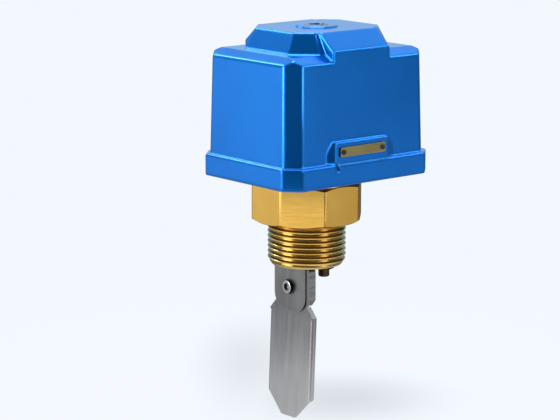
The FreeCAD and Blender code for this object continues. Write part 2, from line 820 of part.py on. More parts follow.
def pivot_clip():
    """An open retaining ring in the pin's groove."""
    near = frame_inner + frame_t + groove_t - clip_t / 2 - 0.05
    far = near + clip_t
    ring = cylinder(pivot_r * 2, (0, near, pivot_z), (0, far, pivot_z))
    bore = cylinder(pivot_r * groove_share + running_gap, (0, near - 1, pivot_z), (0, far + 1, pivot_z))
    mouth = block((-pivot_r * 0.6, near - 1, pivot_z), (pivot_r * 0.6, far + 1, pivot_z + pivot_r * 4))
    return without(ring, [bore, mouth])


# ---------------------------------------------------------------- lever and paddle
def paddle_lever():
    """One stainless piece: bar and jog in the pipe, round stem through the throat, hub and arms."""
    half = arm_width / 2
    hub_half = frame_inner - hub_gap
    stem = cylinder(stem_r, (0, 0, jog_top), (0, 0, pivot_z))
    hub = cylinder(hub_r, (0, -hub_half, pivot_z), (0, hub_half, pivot_z))
    arms = block((nose_x, -half, arm_bottom), (spring_x + arm_reach, half, arm_top))
    arms = rounded(arms, arm_corner, lambda e: abs(e.tangentAt(0).z) > 0.9 and e.CenterOfMass.x > spring_x)
    nose = cylinder(nose_r, (nose_x, -half, pivot_z), (nose_x, half, pivot_z))
    peg = cylinder(peg_r, (spring_x, 0, arm_bottom + 0.5), (spring_x, 0, arm_top + peg_h))
    tang = tang_width / 2
    web = bar_t / 2
    tang_foot = bar_top - 2.0
    jog = prism([(-web, -tang, jog_top + jog_rise), (web, -tang, jog_top + jog_rise), (web, -tang, jog_top),
                 (bar_back, -tang, jog_bottom), (bar_back, -tang, tang_foot),
                 (bar_front, -tang, tang_foot), (bar_front, -tang, jog_bottom), (-web, -tang, jog_top)],
                (0, tang_width, 0))
    wide = bar_width / 2
    bar = prism([(bar_front, -wide, bar_top), (bar_back, -wide, bar_top),
                 (bar_back, -wide, bar_bottom + bar_bevel), (bar_back - bar_bevel, -wide, bar_bottom),
                 (bar_front, -wide, bar_bottom)], (0, bar_width, 0))
    bar = rounded(bar, bar_corner,
                  lambda e: abs(e.tangentAt(0).x) > 0.9 and e.CenterOfMass.z > bar_top - 0.01)
    lever = joined([stem, hub, arms, nose, peg, jog, bar])
    bore = cylinder(pivot_r + running_gap, (0, -hub_half - 1.0, pivot_z), (0, hub_half + 1.0, pivot_z))
    screw_hole = cylinder(paddle_screw_r + thread_gap, (bar_front - 1.0, 0, paddle_screw_z),
                          (bar_back + 1.0, 0, paddle_screw_z))
    return without(lever, [bore, screw_hole])


def channel_outline(z):
    """Section of the folded blade: a flat face with a flange turned back along each edge."""
    half = blade_width / 2
    front = blade_front
    back = blade_front + flange_depth
    inner = half - blade_t
    web_back = blade_front + blade_t
    diag = bend_r * (1 - math.sqrt(0.5))

    def line(a, b):
        return Part.LineSegment(Vector(a[0], a[1], z), Vector(b[0], b[1], z)).toShape()

    def bend(side):
        start = Vector(front, side * (half - bend_r), z)
        middle = Vector(front + diag, side * (half - diag), z)
        end = Vector(front + bend_r, side * half, z)
        return Part.Arc(start, middle, end).toShape()

    edges = [line((front, -half + bend_r), (front, half - bend_r)), bend(1),
             line((front + bend_r, half), (back, half)), line((back, half), (back, inner)),
             line((back, inner), (web_back, inner)), line((web_back, inner), (web_back, -inner)),
             line((web_back, -inner), (back, -inner)), line((back, -inner), (back, -half)),
             line((back, -half), (front + bend_r, -half)), bend(-1)]
    return Part.Face(Part.Wire(Part.__sortEdges__(edges)))


def paddle_blade():
    """The folded paddle: its lower part leans a little into the flow, and a flat tab goes up the bar."""
    half = blade_width / 2
    tab = bar_width / 2
    drop = blade_bottom - set_height
    lower = channel_outline(set_height).extrude(Vector(drop * math.tan(set_angle), 0, drop))
    upper = channel_outline(set_height).extrude(Vector(0, 0, shoulder_top - set_height))
    strip = block((blade_front, -tab, set_height), (blade_front + blade_t, tab, bar_top))
    cutters = []
    low = shoulder_top - shoulder_drop
    clear = half + 1.0
    face = blade_front - 1.0
    foot = blade_bottom - 1.0
    far = 20.0
    fold = blade_t * math.sin(math.atan2(half - tab, shoulder_drop))
    pieces = [lower, upper, strip]
    for side in (-1, 1):
        # The flange runs on along the sloping shoulder, up to the tab.
        slope = [(tab, shoulder_top), (half, low), (half - fold, low - fold),
                 (tab - fold, shoulder_top - fold)]
        pieces.append(prism([(blade_front, side * y, z) for y, z in slope], (flange_depth, 0, 0)))
        shoulder = [(tab, shoulder_top), (half, low), (clear, low), (clear, 0), (tab, 0)]
        cutters.append(prism([(face, side * y, z) for y, z in shoulder], (flange_depth + 2, 0, 0)))
        corner = [(half - blade_cut, foot), (half - blade_cut, blade_bottom),
                  (half, blade_bottom + blade_cut), (clear, blade_bottom + blade_cut), (clear, foot)]
        cutters.append(prism([(-far, side * y, z) for y, z in corner], (2 * far, 0, 0)))
    cutters.append(cylinder(paddle_screw_r + thread_gap, (face, 0, paddle_screw_z),
                            (bar_front + 1, 0, paddle_screw_z)))
    return without(joined(pieces), cutters)


def clamp_plate():
    tab = bar_width / 2
    plate = block((clamp_front, -tab, clamp_bottom), (blade_front, tab, bar_top))
    plate = rounded(plate, clamp_corner,
                    lambda e: abs(e.tangentAt(0).x) > 0.9 and e.CenterOfMass.z < clamp_bottom + 0.01)
    return plate.cut(cylinder(paddle_screw_r + thread_gap, (clamp_front - 1, 0, paddle_screw_z),
                              (blade_front + 1, 0, paddle_screw_z)))


def lock_washer():
    start = clamp_front - paddle_washer_t
    ring = cylinder(paddle_washer_r, (start, 0, paddle_screw_z), (clamp_front, 0, paddle_screw_z))
    bore = cylinder(paddle_screw_r + washer_gap, (start - 1, 0, paddle_screw_z),
                    (clamp_front + 1, 0, paddle_screw_z))
    split = prism([(start - 1, -0.3, paddle_screw_z), (start - 1, 0.3, paddle_screw_z),
                   (start - 1, 1.0, paddle_screw_z + 5), (start - 1, 0.4, paddle_screw_z + 5)], (3, 0, 0))
    return without(ring, [bore, split])


def paddle_screw():
    seat = clamp_front - paddle_washer_t
    face = seat - paddle_head_h
    head = cylinder(paddle_head_r, (face, 0, paddle_screw_z), (seat, 0, paddle_screw_z))
    head = rounded(head, 0.35, lambda e: e.CenterOfMass.x < face + 0.01)
    socket = polygon_bar(socket_flats, 6, (face - 1, 0, paddle_screw_z), (face + 1.0, 0, paddle_screw_z))
    shank = cylinder(paddle_screw_r, (seat, 0, paddle_screw_z), (bar_back - 0.2, 0, paddle_screw_z))
    return joined([head.cut(socket), shank])


def bellows():
    """A folded metal tube round the stem, soldered to it at the lower end."""
    turns = bellows_turns
    low = bellows_bottom + 1.0
    pitch = (bellows_top - 0.6 - low) / turns
    outer = [(stem_r, bellows_bottom), (bellows_r, bellows_bottom)]
    inner = [(stem_r, low - 0.4), (bellows_r - bellows_depth - bellows_wall, low - 0.4)]
    for k in range(turns):
        base = low + k * pitch
        outer += [(bellows_r, base), (bellows_r - bellows_depth, base + pitch * 0.5)]
        inner += [(bellows_r - bellows_wall, base + bellows_wall * 0.3),
                  (bellows_r - bellows_depth - bellows_wall, base + pitch * 0.5)]
    outer += [(bellows_r, bellows_top - 0.6), (bellows_r, bellows_top)]
    inner += [(bellows_r - bellows_depth - bellows_wall, bellows_top)]
    inner[2] = (bellows_r - bellows_wall, low + 0.15)
    return revolved(outer + inner[::-1])


# ---------------------------------------------------------------- snap switch
def switch_screw_places():
    z = switch_bottom + mount_hole_z
    return [(switch_left + mount_hole_inset, z), (switch_right - mount_hole_inset, z)]


def terminal_places():
    middle = (switch_left + switch_right) / 2
    return [middle + k * terminal_pitch for k in (-1, 0, 1)]


def switch_case():
    half = switch_width / 2
    case = block((switch_left, -half, switch_bottom), (switch_right, half, switch_top))
    case = rounded(case, 0.8, lambda e: abs(e.tangentAt(0).y) > 0.9)
    pieces = [case]
    for k in (-0.5, 0.5):
        x = terminal_places()[1] + k * terminal_pitch
        pieces.append(block((x - barrier_t / 2, -half, switch_top - 0.5),
                            (x + barrier_t / 2, half, switch_top + barrier_h)))
    for side in (-1, 1):
        near, far = sorted((side * (leaf_width / 2 + 0.3), side * (leaf_width / 2 + 0.3 + ear_t)))
        pieces.append(block((leaf_pivot_x - ear_reach, near, leaf_z - ear_reach),
                            (leaf_pivot_x + ear_reach, far, switch_bottom + 0.5)))
    case = joined(pieces)
    seam = block((switch_left - 1, -0.2, switch_bottom + 2.0), (switch_right + 1, 0.2, switch_top - 2.0))
    rim = block((switch_left + 0.5, -0.3, switch_bottom + 1.0), (switch_right - 0.5, 0.3, switch_top - 1.0))
    cutters = [seam.cut(rim),
               cylinder(plunger_r + running_gap, (plunger_x, 0, switch_bottom - 1.0),
                        (plunger_x, 0, switch_bottom + plunger_depth)),
               cylinder(leaf_pin_r, (leaf_pivot_x, -half - 1, leaf_z), (leaf_pivot_x, half + 1, leaf_z))]
    for x, z in switch_screw_places():
        cutters.append(cylinder(mount_screw_r + thread_gap, (x, -half - 1, z), (x, half + 1, z)))
    hole_r = small_shank_r + thread_gap
    for x in terminal_places():
        cutters.append(cylinder(hole_r, (x, 0, switch_top - terminal_screw_reach), (x, 0, switch_top + 1.0)))
    return without(case, cutters)


def switch_leaf():
    """The sprung leaf between the lever's nose and the plunger, curled round its pin."""
    half = leaf_width / 2
    curl = cylinder(leaf_pin_r + leaf_t, (leaf_pivot_x, -half, leaf_z), (leaf_pivot_x, half, leaf_z))
    flat = block((leaf_pivot_x, -half, leaf_z - leaf_t / 2), (leaf_end_x, half, leaf_z + leaf_t / 2))
    flat = rounded(flat, leaf_width * 0.3,
                   lambda e: abs(e.tangentAt(0).z) > 0.9 and e.CenterOfMass.x > leaf_end_x - 0.01)
    pin = cylinder(leaf_pin_r + 0.02, (leaf_pivot_x, -half - 1, leaf_z), (leaf_pivot_x, half + 1, leaf_z))
    return joined([curl, flat]).cut(pin)


def leaf_pin():
    half = leaf_width / 2 + 0.3 + ear_t
    return cylinder(leaf_pin_r, (leaf_pivot_x, -half, leaf_z), (leaf_pivot_x, half, leaf_z))


def switch_plunger():
    low = leaf_z + leaf_t / 2 + 0.05
    pin = cylinder(plunger_r, (plunger_x, 0, low), (plunger_x, 0, switch_bottom + plunger_depth - 1.0))
    return rounded(pin, 0.8, lambda e: e.CenterOfMass.z < low + 0.01)


def switch_screws():
    half = switch_width / 2
    return group([screw((x, -half, z), (0, 1, 0), mount_screw_r, switch_width + bracket_t,
                        small_head_r, small_head_h) for x, z in switch_screw_places()])


def terminal_plates():
    """Three bent plates with an upstand, which keeps a wire under its screw."""
    plates = []
    high = switch_top + terminal_t
    for x in terminal_places():
        flat = block((x - terminal_half, -terminal_front, switch_top),
                     (x + terminal_half, terminal_back, high))
        stop = block((x - terminal_half, terminal_back, switch_top),
                     (x + terminal_half, terminal_back + terminal_t, switch_top + terminal_upstand))
        hole = cylinder(small_shank_r + thread_gap, (x, 0, switch_top - 1), (x, 0, high + 1))
        plates.append(joined([flat, stop]).cut(hole))
    return group(plates)


def terminal_screws():
    seat = switch_top + terminal_t
    return group([screw((x, 0, seat), (0, 0, -1), small_shank_r, terminal_screw_reach,
                        small_head_r, small_head_h) for x in terminal_places()])


def bracket_screw_places():
    x = switch_left + bracket_foot_length / 2
    y = switch_width / 2 + bracket_t + bracket_foot / 2
    return [(x, y - bracket_screw_pitch / 2), (x, y + bracket_screw_pitch / 2)]


def switch_bracket():
    """A folded angle behind the switch, with one foot on the plate."""
    near = switch_width / 2
    far = near + bracket_t
    upright = block((switch_left, near, plate_top), (switch_right, far, plate_top + bracket_h))
    foot_x = switch_left + bracket_foot_length
    foot_y = far + bracket_foot
    foot = block((switch_left, near, plate_top), (foot_x, foot_y, plate_top + bracket_t))
    foot = rounded(foot, bracket_foot_corner,
                   lambda e: abs(e.tangentAt(0).z) > 0.9 and e.CenterOfMass.y > foot_y - 0.01)
    cutters = [block((foot_x, near - 1, plate_top - 1),
                     (switch_right + 1, far + 1, pivot_z + bracket_step))]
    for x, z in switch_screw_places():
        cutters.append(cylinder(mount_screw_r + thread_gap, (x, near - 1, z), (x, far + 1, z)))
    for x, y in bracket_screw_places():
        cutters.append(cylinder(small_shank_r + thread_gap, (x, y, plate_top - 1),
                                (x, y, plate_top + bracket_t + 1)))
    return without(joined([upright, foot]), cutters)


def bracket_screws():
    reach = bracket_t + plate_t - 0.2
    return group([screw((x, y, plate_top + bracket_t), (0, 0, -1), small_shank_r, reach,
                        small_head_r, small_head_h) for x, y in bracket_screw_places()])


# ---------------------------------------------------------------- range spring
def range_spring():
    """A round-wire compression spring between the lever's arm and the adjustable seat."""
    low = arm_top + spring_gap + spring_wire_r
    high = spring_top_z - spring_gap - spring_wire_r
    pitch = (high - low) / spring_turns
    path = Part.makeHelix(pitch, high - low, spring_mean_r)
    start = Vector(spring_mean_r, 0, 0)
    along = Vector(0, spring_mean_r * 2 * math.pi, pitch)
    section = Part.Wire(Part.makeCircle(spring_wire_r, start, along))
    coil = Part.Wire(path.Edges).makePipeShell([section], True, True)
    coil.translate(Vector(spring_x, 0, low))
    return coil


def spring_seat():
    """The travelling nut: a tongue runs along the frame's leg, so it cannot turn with the screw."""
    disc = cylinder(spring_seat_r, (spring_x, 0, spring_top_z), (spring_x, 0, spring_top_z + spring_seat_t))
    tongue = block((spring_x - 1.5, -frame_inner + hub_gap, spring_top_z),
                   (spring_x + 1.5, 0, spring_top_z + spring_seat_t))
    bore = cylinder(range_screw_r + thread_gap, (spring_x, 0, spring_top_z - 1),
                    (spring_x, 0, spring_top_z + spring_seat_t + 1))
    return joined([disc, tongue]).cut(bore)


def range_screw():
    reach = frame_top - spring_top_z + 3.0
    return screw((spring_x, 0, frame_top), (0, 0, -1), range_screw_r, reach, range_head_r, range_head_h)


PARTS = {
    "brass_body": brass_body, "stop_lug": stop_lug, "body_gasket": body_gasket, "base_plate": base_plate,
    "cover_gasket": cover_gasket, "body_screws": body_screws, "ground_screw": ground_screw,
    "frame_bracket": frame_bracket, "cover_post": cover_post, "pivot_pin": pivot_pin,
    "pivot_clip": pivot_clip, "cover": cover, "nameplate": nameplate, "nameplate_pins": nameplate_pins,
    "screw_eyelet": screw_eyelet, "cover_screw": cover_screw, "paddle_lever": paddle_lever,
    "bellows": bellows, "paddle_blade": paddle_blade, "clamp_plate": clamp_plate,
    "lock_washer": lock_washer, "paddle_screw": paddle_screw, "switch_case": switch_case,
    "switch_leaf": switch_leaf, "leaf_pin": leaf_pin, "switch_plunger": switch_plunger,
    "switch_screws": switch_screws, "terminal_plates": terminal_plates,
    "terminal_screws": terminal_screws, "switch_bracket": switch_bracket,
    "bracket_screws": bracket_screws, "range_spring": range_spring, "spring_seat": spring_seat,
    "range_screw": range_screw,
}

for name, make in PARTS.items():
    shape = make()
    shape.translate(Vector(0, 0, -origin_z))
    shape.exportStep(f"parts/{name}.step")
    print(f"{name}: {len(shape.Solids)} solid, {shape.Volume:.1f} mm3, valid {shape.isValid()}")
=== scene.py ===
# %% [markdown]
# # A paddle flow switch
# The real object screws into a pipe tee. A stainless paddle hangs in the water, a brass body
# carries it, and a cast blue housing covers the snap switch. The solids come from the CAD frame.
# This script dresses them: finishes, the cut pipe thread, the range screw's thread, and a copy
# of the range spring.

# %% The frame
import json
import math
from contextlib import contextmanager

import bmesh
import bpy
from mathutils import Matrix, Vector

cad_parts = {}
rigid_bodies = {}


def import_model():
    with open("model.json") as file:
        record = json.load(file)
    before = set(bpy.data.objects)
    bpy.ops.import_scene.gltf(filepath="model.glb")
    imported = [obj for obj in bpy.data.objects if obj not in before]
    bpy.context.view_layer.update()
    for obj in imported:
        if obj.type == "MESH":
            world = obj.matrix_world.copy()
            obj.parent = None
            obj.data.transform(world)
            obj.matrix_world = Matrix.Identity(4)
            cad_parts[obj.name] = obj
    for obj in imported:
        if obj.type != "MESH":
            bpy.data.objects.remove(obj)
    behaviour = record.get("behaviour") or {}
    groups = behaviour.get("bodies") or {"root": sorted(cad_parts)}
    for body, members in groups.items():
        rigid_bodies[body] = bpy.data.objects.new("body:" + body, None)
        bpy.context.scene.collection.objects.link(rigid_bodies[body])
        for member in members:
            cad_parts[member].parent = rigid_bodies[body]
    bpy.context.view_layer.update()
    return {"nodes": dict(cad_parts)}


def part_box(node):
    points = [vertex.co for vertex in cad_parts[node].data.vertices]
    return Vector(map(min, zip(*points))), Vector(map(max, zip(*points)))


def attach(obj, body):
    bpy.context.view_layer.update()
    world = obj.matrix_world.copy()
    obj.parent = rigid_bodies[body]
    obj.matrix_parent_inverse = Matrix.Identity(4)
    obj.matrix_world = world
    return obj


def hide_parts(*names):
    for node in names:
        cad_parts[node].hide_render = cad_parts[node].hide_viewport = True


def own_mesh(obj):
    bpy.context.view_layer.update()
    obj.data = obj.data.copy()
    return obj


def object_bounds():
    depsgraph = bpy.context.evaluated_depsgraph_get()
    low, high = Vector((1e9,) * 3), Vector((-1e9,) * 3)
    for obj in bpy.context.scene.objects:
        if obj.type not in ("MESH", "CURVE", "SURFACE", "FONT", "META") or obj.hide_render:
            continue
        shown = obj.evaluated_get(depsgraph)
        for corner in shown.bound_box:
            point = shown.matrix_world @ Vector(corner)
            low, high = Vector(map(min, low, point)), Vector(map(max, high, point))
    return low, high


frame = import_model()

nodes = frame["nodes"]

# %% [markdown]
# Lengths on this object are easiest to think of in millimetres, with heights counted from the
# shoulder where the thread meets the octagon. One helper turns such a place into metres.

# %% Places in millimetres
MM = 0.001
thread_length = 19.0
shoulder_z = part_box("brass_body")[0].z + thread_length * MM


def place(x, y, height):
    """A point given in millimetres, its height above the shoulder, as metres in the frame."""
    return Vector((x * MM, y * MM, height * MM + shoulder_z))


print("shoulder at", round(shoulder_z, 5))

# %% [markdown]
# ## The studio
# The camera stands a little above the housing, and looks at its corner from about a metre.
# A long lens at that distance keeps the upright edges nearly parallel.

# %% Camera
camera_data = bpy.data.cameras.new("studio_camera")
camera_data.lens = 143.68
camera_data.sensor_width = 36.0
camera = bpy.data.objects.new("studio_camera", camera_data)
bpy.context.scene.collection.objects.link(camera)
camera.location = place(-604.7, -709.7, 191.15)
view_line = Vector((0.62665, 0.75395, -0.19716))
camera.rotation_euler = view_line.to_track_quat("-Z", "Y").to_euler()
bpy.context.scene.camera = camera
print("camera", [round(v, 3) for v in camera.location])

# %% [markdown]
# Small helpers shorten the node work. The first three add a node with its settings, fill in its
# inputs, and give a new material with its Principled shader.


# %% Nodes and materials
def add(tree, kind, where=(0, 0), **settings):
    """A node of that kind in the tree, with its properties set."""
    node = tree.nodes.new(kind)
    node.location = where
    for name, value in settings.items():
        setattr(node, name, value)
    return node


def set_inputs(node, **values):
    """Sets a node's inputs by their names, with an underscore for each space."""
    for name, value in values.items():
        node.inputs[name.replace("_", " ")].default_value = value


def new_finish(name):
    """An empty material with a Principled shader, and its tree."""
    material = bpy.data.materials.new(name)
    material.use_nodes = True
    tree = material.node_tree
    return material, tree, tree.nodes["Principled BSDF"]


print("node helpers ready")

# %% [markdown]
# The next helpers do sums on sockets. Each input may be a number or a socket, and each helper
# gives back the output, so that they can be written one inside another.


# %% Sums on sockets
def feed(tree, sockets, values):
    """Links each value that is a socket, and sets each that is a number."""
    for socket, value in zip(sockets, values):
        if isinstance(value, bpy.types.NodeSocket):
            tree.links.new(value, socket)
        elif value is not None:
            socket.default_value = value


def maths(tree, operation, first, second, where=(-300, 0)):
    """One Math node."""
    node = add(tree, "ShaderNodeMath", where, operation=operation)
    feed(tree, node.inputs, (first, second))
    return node.outputs[0]


def vector_maths(tree, operation, first, second=None, where=(-900, 0)):
    """One Vector Math node, which gives a number or a vector as its operation does."""
    node = add(tree, "ShaderNodeVectorMath", where, operation=operation)
    feed(tree, node.inputs, (first, second))
    gives_number = operation in ("LENGTH", "DISTANCE", "DOT_PRODUCT")
    return node.outputs["Value" if gives_number else "Vector"]


def mapped(tree, value, start, end, at_start=0.0, at_end=1.0, where=(-700, 0), **settings):
    """A value carried from one range to another, and held at its ends."""
    node = add(tree, "ShaderNodeMapRange", where, **settings)
    set_inputs(node, From_Min=start, From_Max=end, To_Min=at_start, To_Max=at_end)
    tree.links.new(value, node.inputs["Value"])
    return node.outputs["Result"]


def split_axes(tree, vector, where=(-1200, -1900)):
    """The X, Y and Z of a vector, by those names."""
    node = add(tree, "ShaderNodeSeparateXYZ", where)
    tree.links.new(vector, node.inputs[0])
    return node.outputs


print("sums ready")

# %% [markdown]
# The last ones mix colours and shaders, tell one kind of ray from another, and give the place of
# the point being shaded.


# %% Colours, rays and places
def ramp(tree, factor, stops, where=(-900, 0)):
    """A colour ramp over a factor. The stops are (position, colour or grey)."""
    node = add(tree, "ShaderNodeValToRGB", where)
    tree.links.new(factor, node.inputs["Fac"])
    elements = node.color_ramp.elements
    while len(elements) < len(stops):
        elements.new(0.5)
    for element, (position, colour) in zip(elements, stops):
        if not isinstance(colour, tuple):
            colour = (colour, colour, colour)
        element.position = position
        element.color = (*colour, 1.0)
    return node.outputs["Color"]


def mix_colour(tree, factor, first, second, where=(-300, 0), blend="MIX"):
    """Two colours mixed by a factor."""
    node = add(tree, "ShaderNodeMix", where, data_type="RGBA", blend_type=blend)
    ends = [(*value[:3], 1.0) if isinstance(value, tuple) else value for value in (first, second)]
    feed(tree, (node.inputs[0], node.inputs[6], node.inputs[7]), (factor, *ends))
    return node.outputs[2]


def shader_mix(tree, factor, first, second, where=(300, 0)):
    """A Mix Shader between two shader sockets."""
    node = add(tree, "ShaderNodeMixShader", where)
    feed(tree, node.inputs, (factor, first, second))
    return node.outputs[0]


def path_flag(tree, *rays):
    """1 for the named kinds of ray, and 0 for the others."""
    path = add(tree, "ShaderNodeLightPath", (-900, 300))
    flag = path.outputs[rays[0]]
    for ray in rays[1:]:
        flag = maths(tree, "MAXIMUM", flag, path.outputs[ray], (-700, 300))
    return flag


def coordinates(tree, kind="Object", where=(-1600, 0)):
    """The place of the point being shaded."""
    return add(tree, "ShaderNodeTexCoord", where).outputs[kind]


print("colour and ray helpers ready")

# %% [markdown]
# The floor is one pale surface, and each kind of ray meets it differently. The camera sees an
# even tone with a soft shadow behind the paddle and another below it.

# %% Floor, as the camera sees it
pale = (0.890, 0.935, 0.985, 1.0)
floor_grey = (0.62, 0.63, 0.66, 1.0)
floor_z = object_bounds()[0].z - 0.0005

floor_paint, tree, shader = new_finish("pale_floor")
set_inputs(shader, Roughness=0.9)
camera_flag = path_flag(tree, "Is Camera Ray", "Is Transmission Ray")
tree.links.new(mix_colour(tree, camera_flag, floor_grey, pale), shader.inputs["Base Color"])
spot = coordinates(tree)
away = vector_maths(tree, "LENGTH", spot)


def soft_shadow(tree, spot, centre, size, darkness, row):
    """An oval shade that fades outwards. Its size is (along the view, across it) in metres."""
    offset = add(tree, "ShaderNodeMapping", (-900, row), vector_type="TEXTURE")
    turn = math.atan2(view_line.y, view_line.x)
    feed(tree, offset.inputs, (spot, centre, (0.0, 0.0, turn), (*size, 1.0)))
    reach = vector_maths(tree, "LENGTH", offset.outputs[0], None, (-700, row))
    return mapped(tree, reach, 0.0, 1.0, darkness, 0.0, (-500, row),
                  interpolation_type="SMOOTHSTEP")


behind = soft_shadow(tree, spot, (0.033, 0.079, floor_z), (0.115, 0.036), 0.16, -2000)
below = soft_shadow(tree, spot, (0.027, 0.009, floor_z), (0.055, 0.060), 0.22, -2200)
glow = add(tree, "ShaderNodeEmission", (0, -300))
set_inputs(glow, Color=pale)
darkened = maths(tree, "MAXIMUM", behind, below)
tree.links.new(maths(tree, "SUBTRACT", 1.0, darkened), glow.inputs["Strength"])
evenness = mapped(tree, away, 0.04, 0.30, 0.94, 1.0)      # near the object some true shading shows
seen_part = maths(tree, "MULTIPLY", camera_flag, evenness)
print("floor glow ready, floor at", round(floor_z, 4))

# %% [markdown]
# Polished metal sees the floor of a studio. It is brightest on the window side and falls away to
# the other, and the table's far part is darker. A shadow lies in front of the object, where the
# camera stands, and another behind it. The pipe thread mirrors the first.

# %% Floor, as metal mirrors it
floor_slope = Vector((-1.20, -0.78, 0.0))      # how fast its tone grows, a metre, along X and Y
floor_middle = 0.66                            # its tone under the object
least_tone = 0.14                              # its least, before the shadows
darkest, brightest = 0.04, 1.32                # and its limits after them
# How the table darkens outwards, as pairs of twice the distance and the share of the tone left.
table_stops = [(0.12, 1.0), (0.46, 0.50), (0.62, 0.35), (0.72, 1.0)]
front_bearing = math.radians(228)              # where the camera's side of the floor lies
front_way = Vector((math.cos(front_bearing), math.sin(front_bearing), 0.0))
rear_middle = Vector((0.07, 0.085, 0.0))

tone = maths(tree, "ADD", vector_maths(tree, "DOT_PRODUCT", spot, floor_slope), floor_middle)
tone = maths(tree, "MAXIMUM", tone, least_tone)
table = ramp(tree, maths(tree, "MULTIPLY", away, 2.0), table_stops)
close = mapped(tree, away, 0.02, 0.18, 1.7, 1.0)          # light thrown back by the object
heading = vector_maths(tree, "DOT_PRODUCT", vector_maths(tree, "NORMALIZE", spot), front_way)
front_end = mapped(tree, away, 0.28, 0.34, 0.95, 0.0)
front = maths(tree, "MULTIPLY", mapped(tree, heading, 0.78, 0.90), front_end)
rear = mapped(tree, vector_maths(tree, "DISTANCE", spot, rear_middle), 0.03, 0.16, 0.12, 1.0)
for share in (table, close, maths(tree, "SUBTRACT", 1.0, front), rear):
    tone = maths(tree, "MULTIPLY", tone, share)
tone = maths(tree, "MINIMUM", maths(tree, "MAXIMUM", tone, darkest), brightest)
mirrored = add(tree, "ShaderNodeEmission", (0, -500))
set_inputs(mirrored, Color=(0.93, 0.96, 1.0, 1.0))
tree.links.new(tone, mirrored.inputs["Strength"])
print("floor tones from", darkest, "to", brightest)

# %% [markdown]
# The three answers are joined by the kind of ray, and the floor itself is one large square.

# %% Floor
lit = shader_mix(tree, path_flag(tree, "Is Glossy Ray"), shader.outputs[0], mirrored.outputs[0])
seen_floor = shader_mix(tree, seen_part, lit, glow.outputs[0], (500, 0))
tree.links.new(seen_floor, tree.nodes["Material Output"].inputs["Surface"])


def square(name, half_x, half_y, height, material):
    """A flat rectangle about the origin, as an object in the scene."""
    mesh = bpy.data.meshes.new(name)
    corners = [(-half_x, -half_y), (half_x, -half_y), (half_x, half_y), (-half_x, half_y)]
    mesh.from_pydata([(x, y, height) for x, y in corners], [], [(0, 1, 2, 3)])
    mesh.materials.append(material)
    thing = bpy.data.objects.new(name, mesh)
    bpy.context.scene.collection.objects.link(thing)
    return thing


floor = square("studio_floor", 6.0, 6.0, floor_z, floor_paint)
print("floor laid")

# %% [markdown]
# The room behind the camera is dark, as a studio is, and the backdrop and ceiling are grey to
# the metal. Only the eye sees the pale backdrop itself.

# %% World
world = bpy.data.worlds.new("studio_world")
bpy.context.scene.world = world
world.use_nodes = True
tree = world.node_tree
seen = tree.nodes["Background"]
set_inputs(seen, Color=pale, Strength=1.0)
room = add(tree, "ShaderNodeBackground", (0, -200))
set_inputs(room, Color=(0.62, 0.88, 1.0, 1.0))
backdrop_side = Vector((view_line.x, view_line.y, 0.35))
facing = vector_maths(tree, "DOT_PRODUCT", coordinates(tree, "Generated"), backdrop_side)
tree.links.new(mapped(tree, facing, -0.45, 1.0, 0.02, 0.80), room.inputs["Strength"])
flag = path_flag(tree, "Is Camera Ray", "Is Transmission Ray")
tree.links.new(shader_mix(tree, flag, room.outputs[0], seen.outputs[0]),
               tree.nodes["World Output"].inputs["Surface"])
bpy.context.scene.view_settings.view_transform = "Standard"
print("world set")

# %% [markdown]
# Soft boxes light the two long faces and the top. Between them stand two dark cards: glossy
# paint and polished brass need something dark to mirror, or they look flat. The camera can't
# see the cards.


# %% How lamps and cards are made
def aim(thing, start, target):
    """Puts a lamp or card at a place and turns it to face another."""
    thing.location = start
    thing.rotation_euler = (target - start).to_track_quat("-Z", "Y").to_euler()


def soft_box(name, start, target, width, height, power):
    """An area lamp of that size in metres and that power in watts."""
    lamp = bpy.data.lights.new(name, "AREA")
    lamp.shape = "RECTANGLE"
    lamp.size = width
    lamp.size_y = height
    lamp.energy = power
    thing = bpy.data.objects.new(name, lamp)
    bpy.context.scene.collection.objects.link(thing)
    aim(thing, start, target)


def dark_card(name, start, target, width, height):
    """A black card of that size in metres, which only the object mirrors."""
    material, _, shader = new_finish(name + "_cloth")
    set_inputs(shader, Base_Color=(0.01, 0.012, 0.02, 1.0), Roughness=1.0)
    card = square(name, width / 2, height / 2, 0.0, material)
    aim(card, start, target)
    card.visible_camera = False


print("lamp helpers ready")

# %% [markdown]
# Each lamp stands about a metre from the housing's middle, at its own bearing and height. The
# two tall boxes give the long faces their tone, the top box lights the roof, and the smaller ones
# reach the slopes between them.

# %% Lamps and cards
middle = place(5.2, 0, 30)


def around(azimuth, height, distance):
    """A place round the object: bearing from +X and height in degrees, and distance in metres."""
    bearing, rise = math.radians(azimuth), math.radians(height)
    level = distance * math.cos(rise)
    step = Vector((level * math.cos(bearing), level * math.sin(bearing), distance * math.sin(rise)))
    return middle + step


soft_box("left_box", around(166, 14, 0.95), middle, 0.52, 0.8, 9.2)
soft_box("front_box", around(284, 14, 0.95), middle, 0.51, 0.8, 4.4)
soft_box("left_strip", around(100, 40, 1.0), middle, 0.30, 0.30, 1.6)
soft_box("right_strip", around(322, 34, 1.0), middle, 0.24, 0.30, 1.0)
soft_box("right_fill", around(12, 50, 1.0), middle, 0.5, 0.5, 0.35)
soft_box("top_box", around(60, 78, 1.0), middle, 0.6, 0.6, 7.0)
dark_card("corner_card", place(-92, -107, 44), place(-10, -25, 44), 0.10, 0.10)
dark_card("boss_card", place(-16, -118, 13), place(-13, -30, 32), 0.06, 0.055)
print("lamps and cards set")
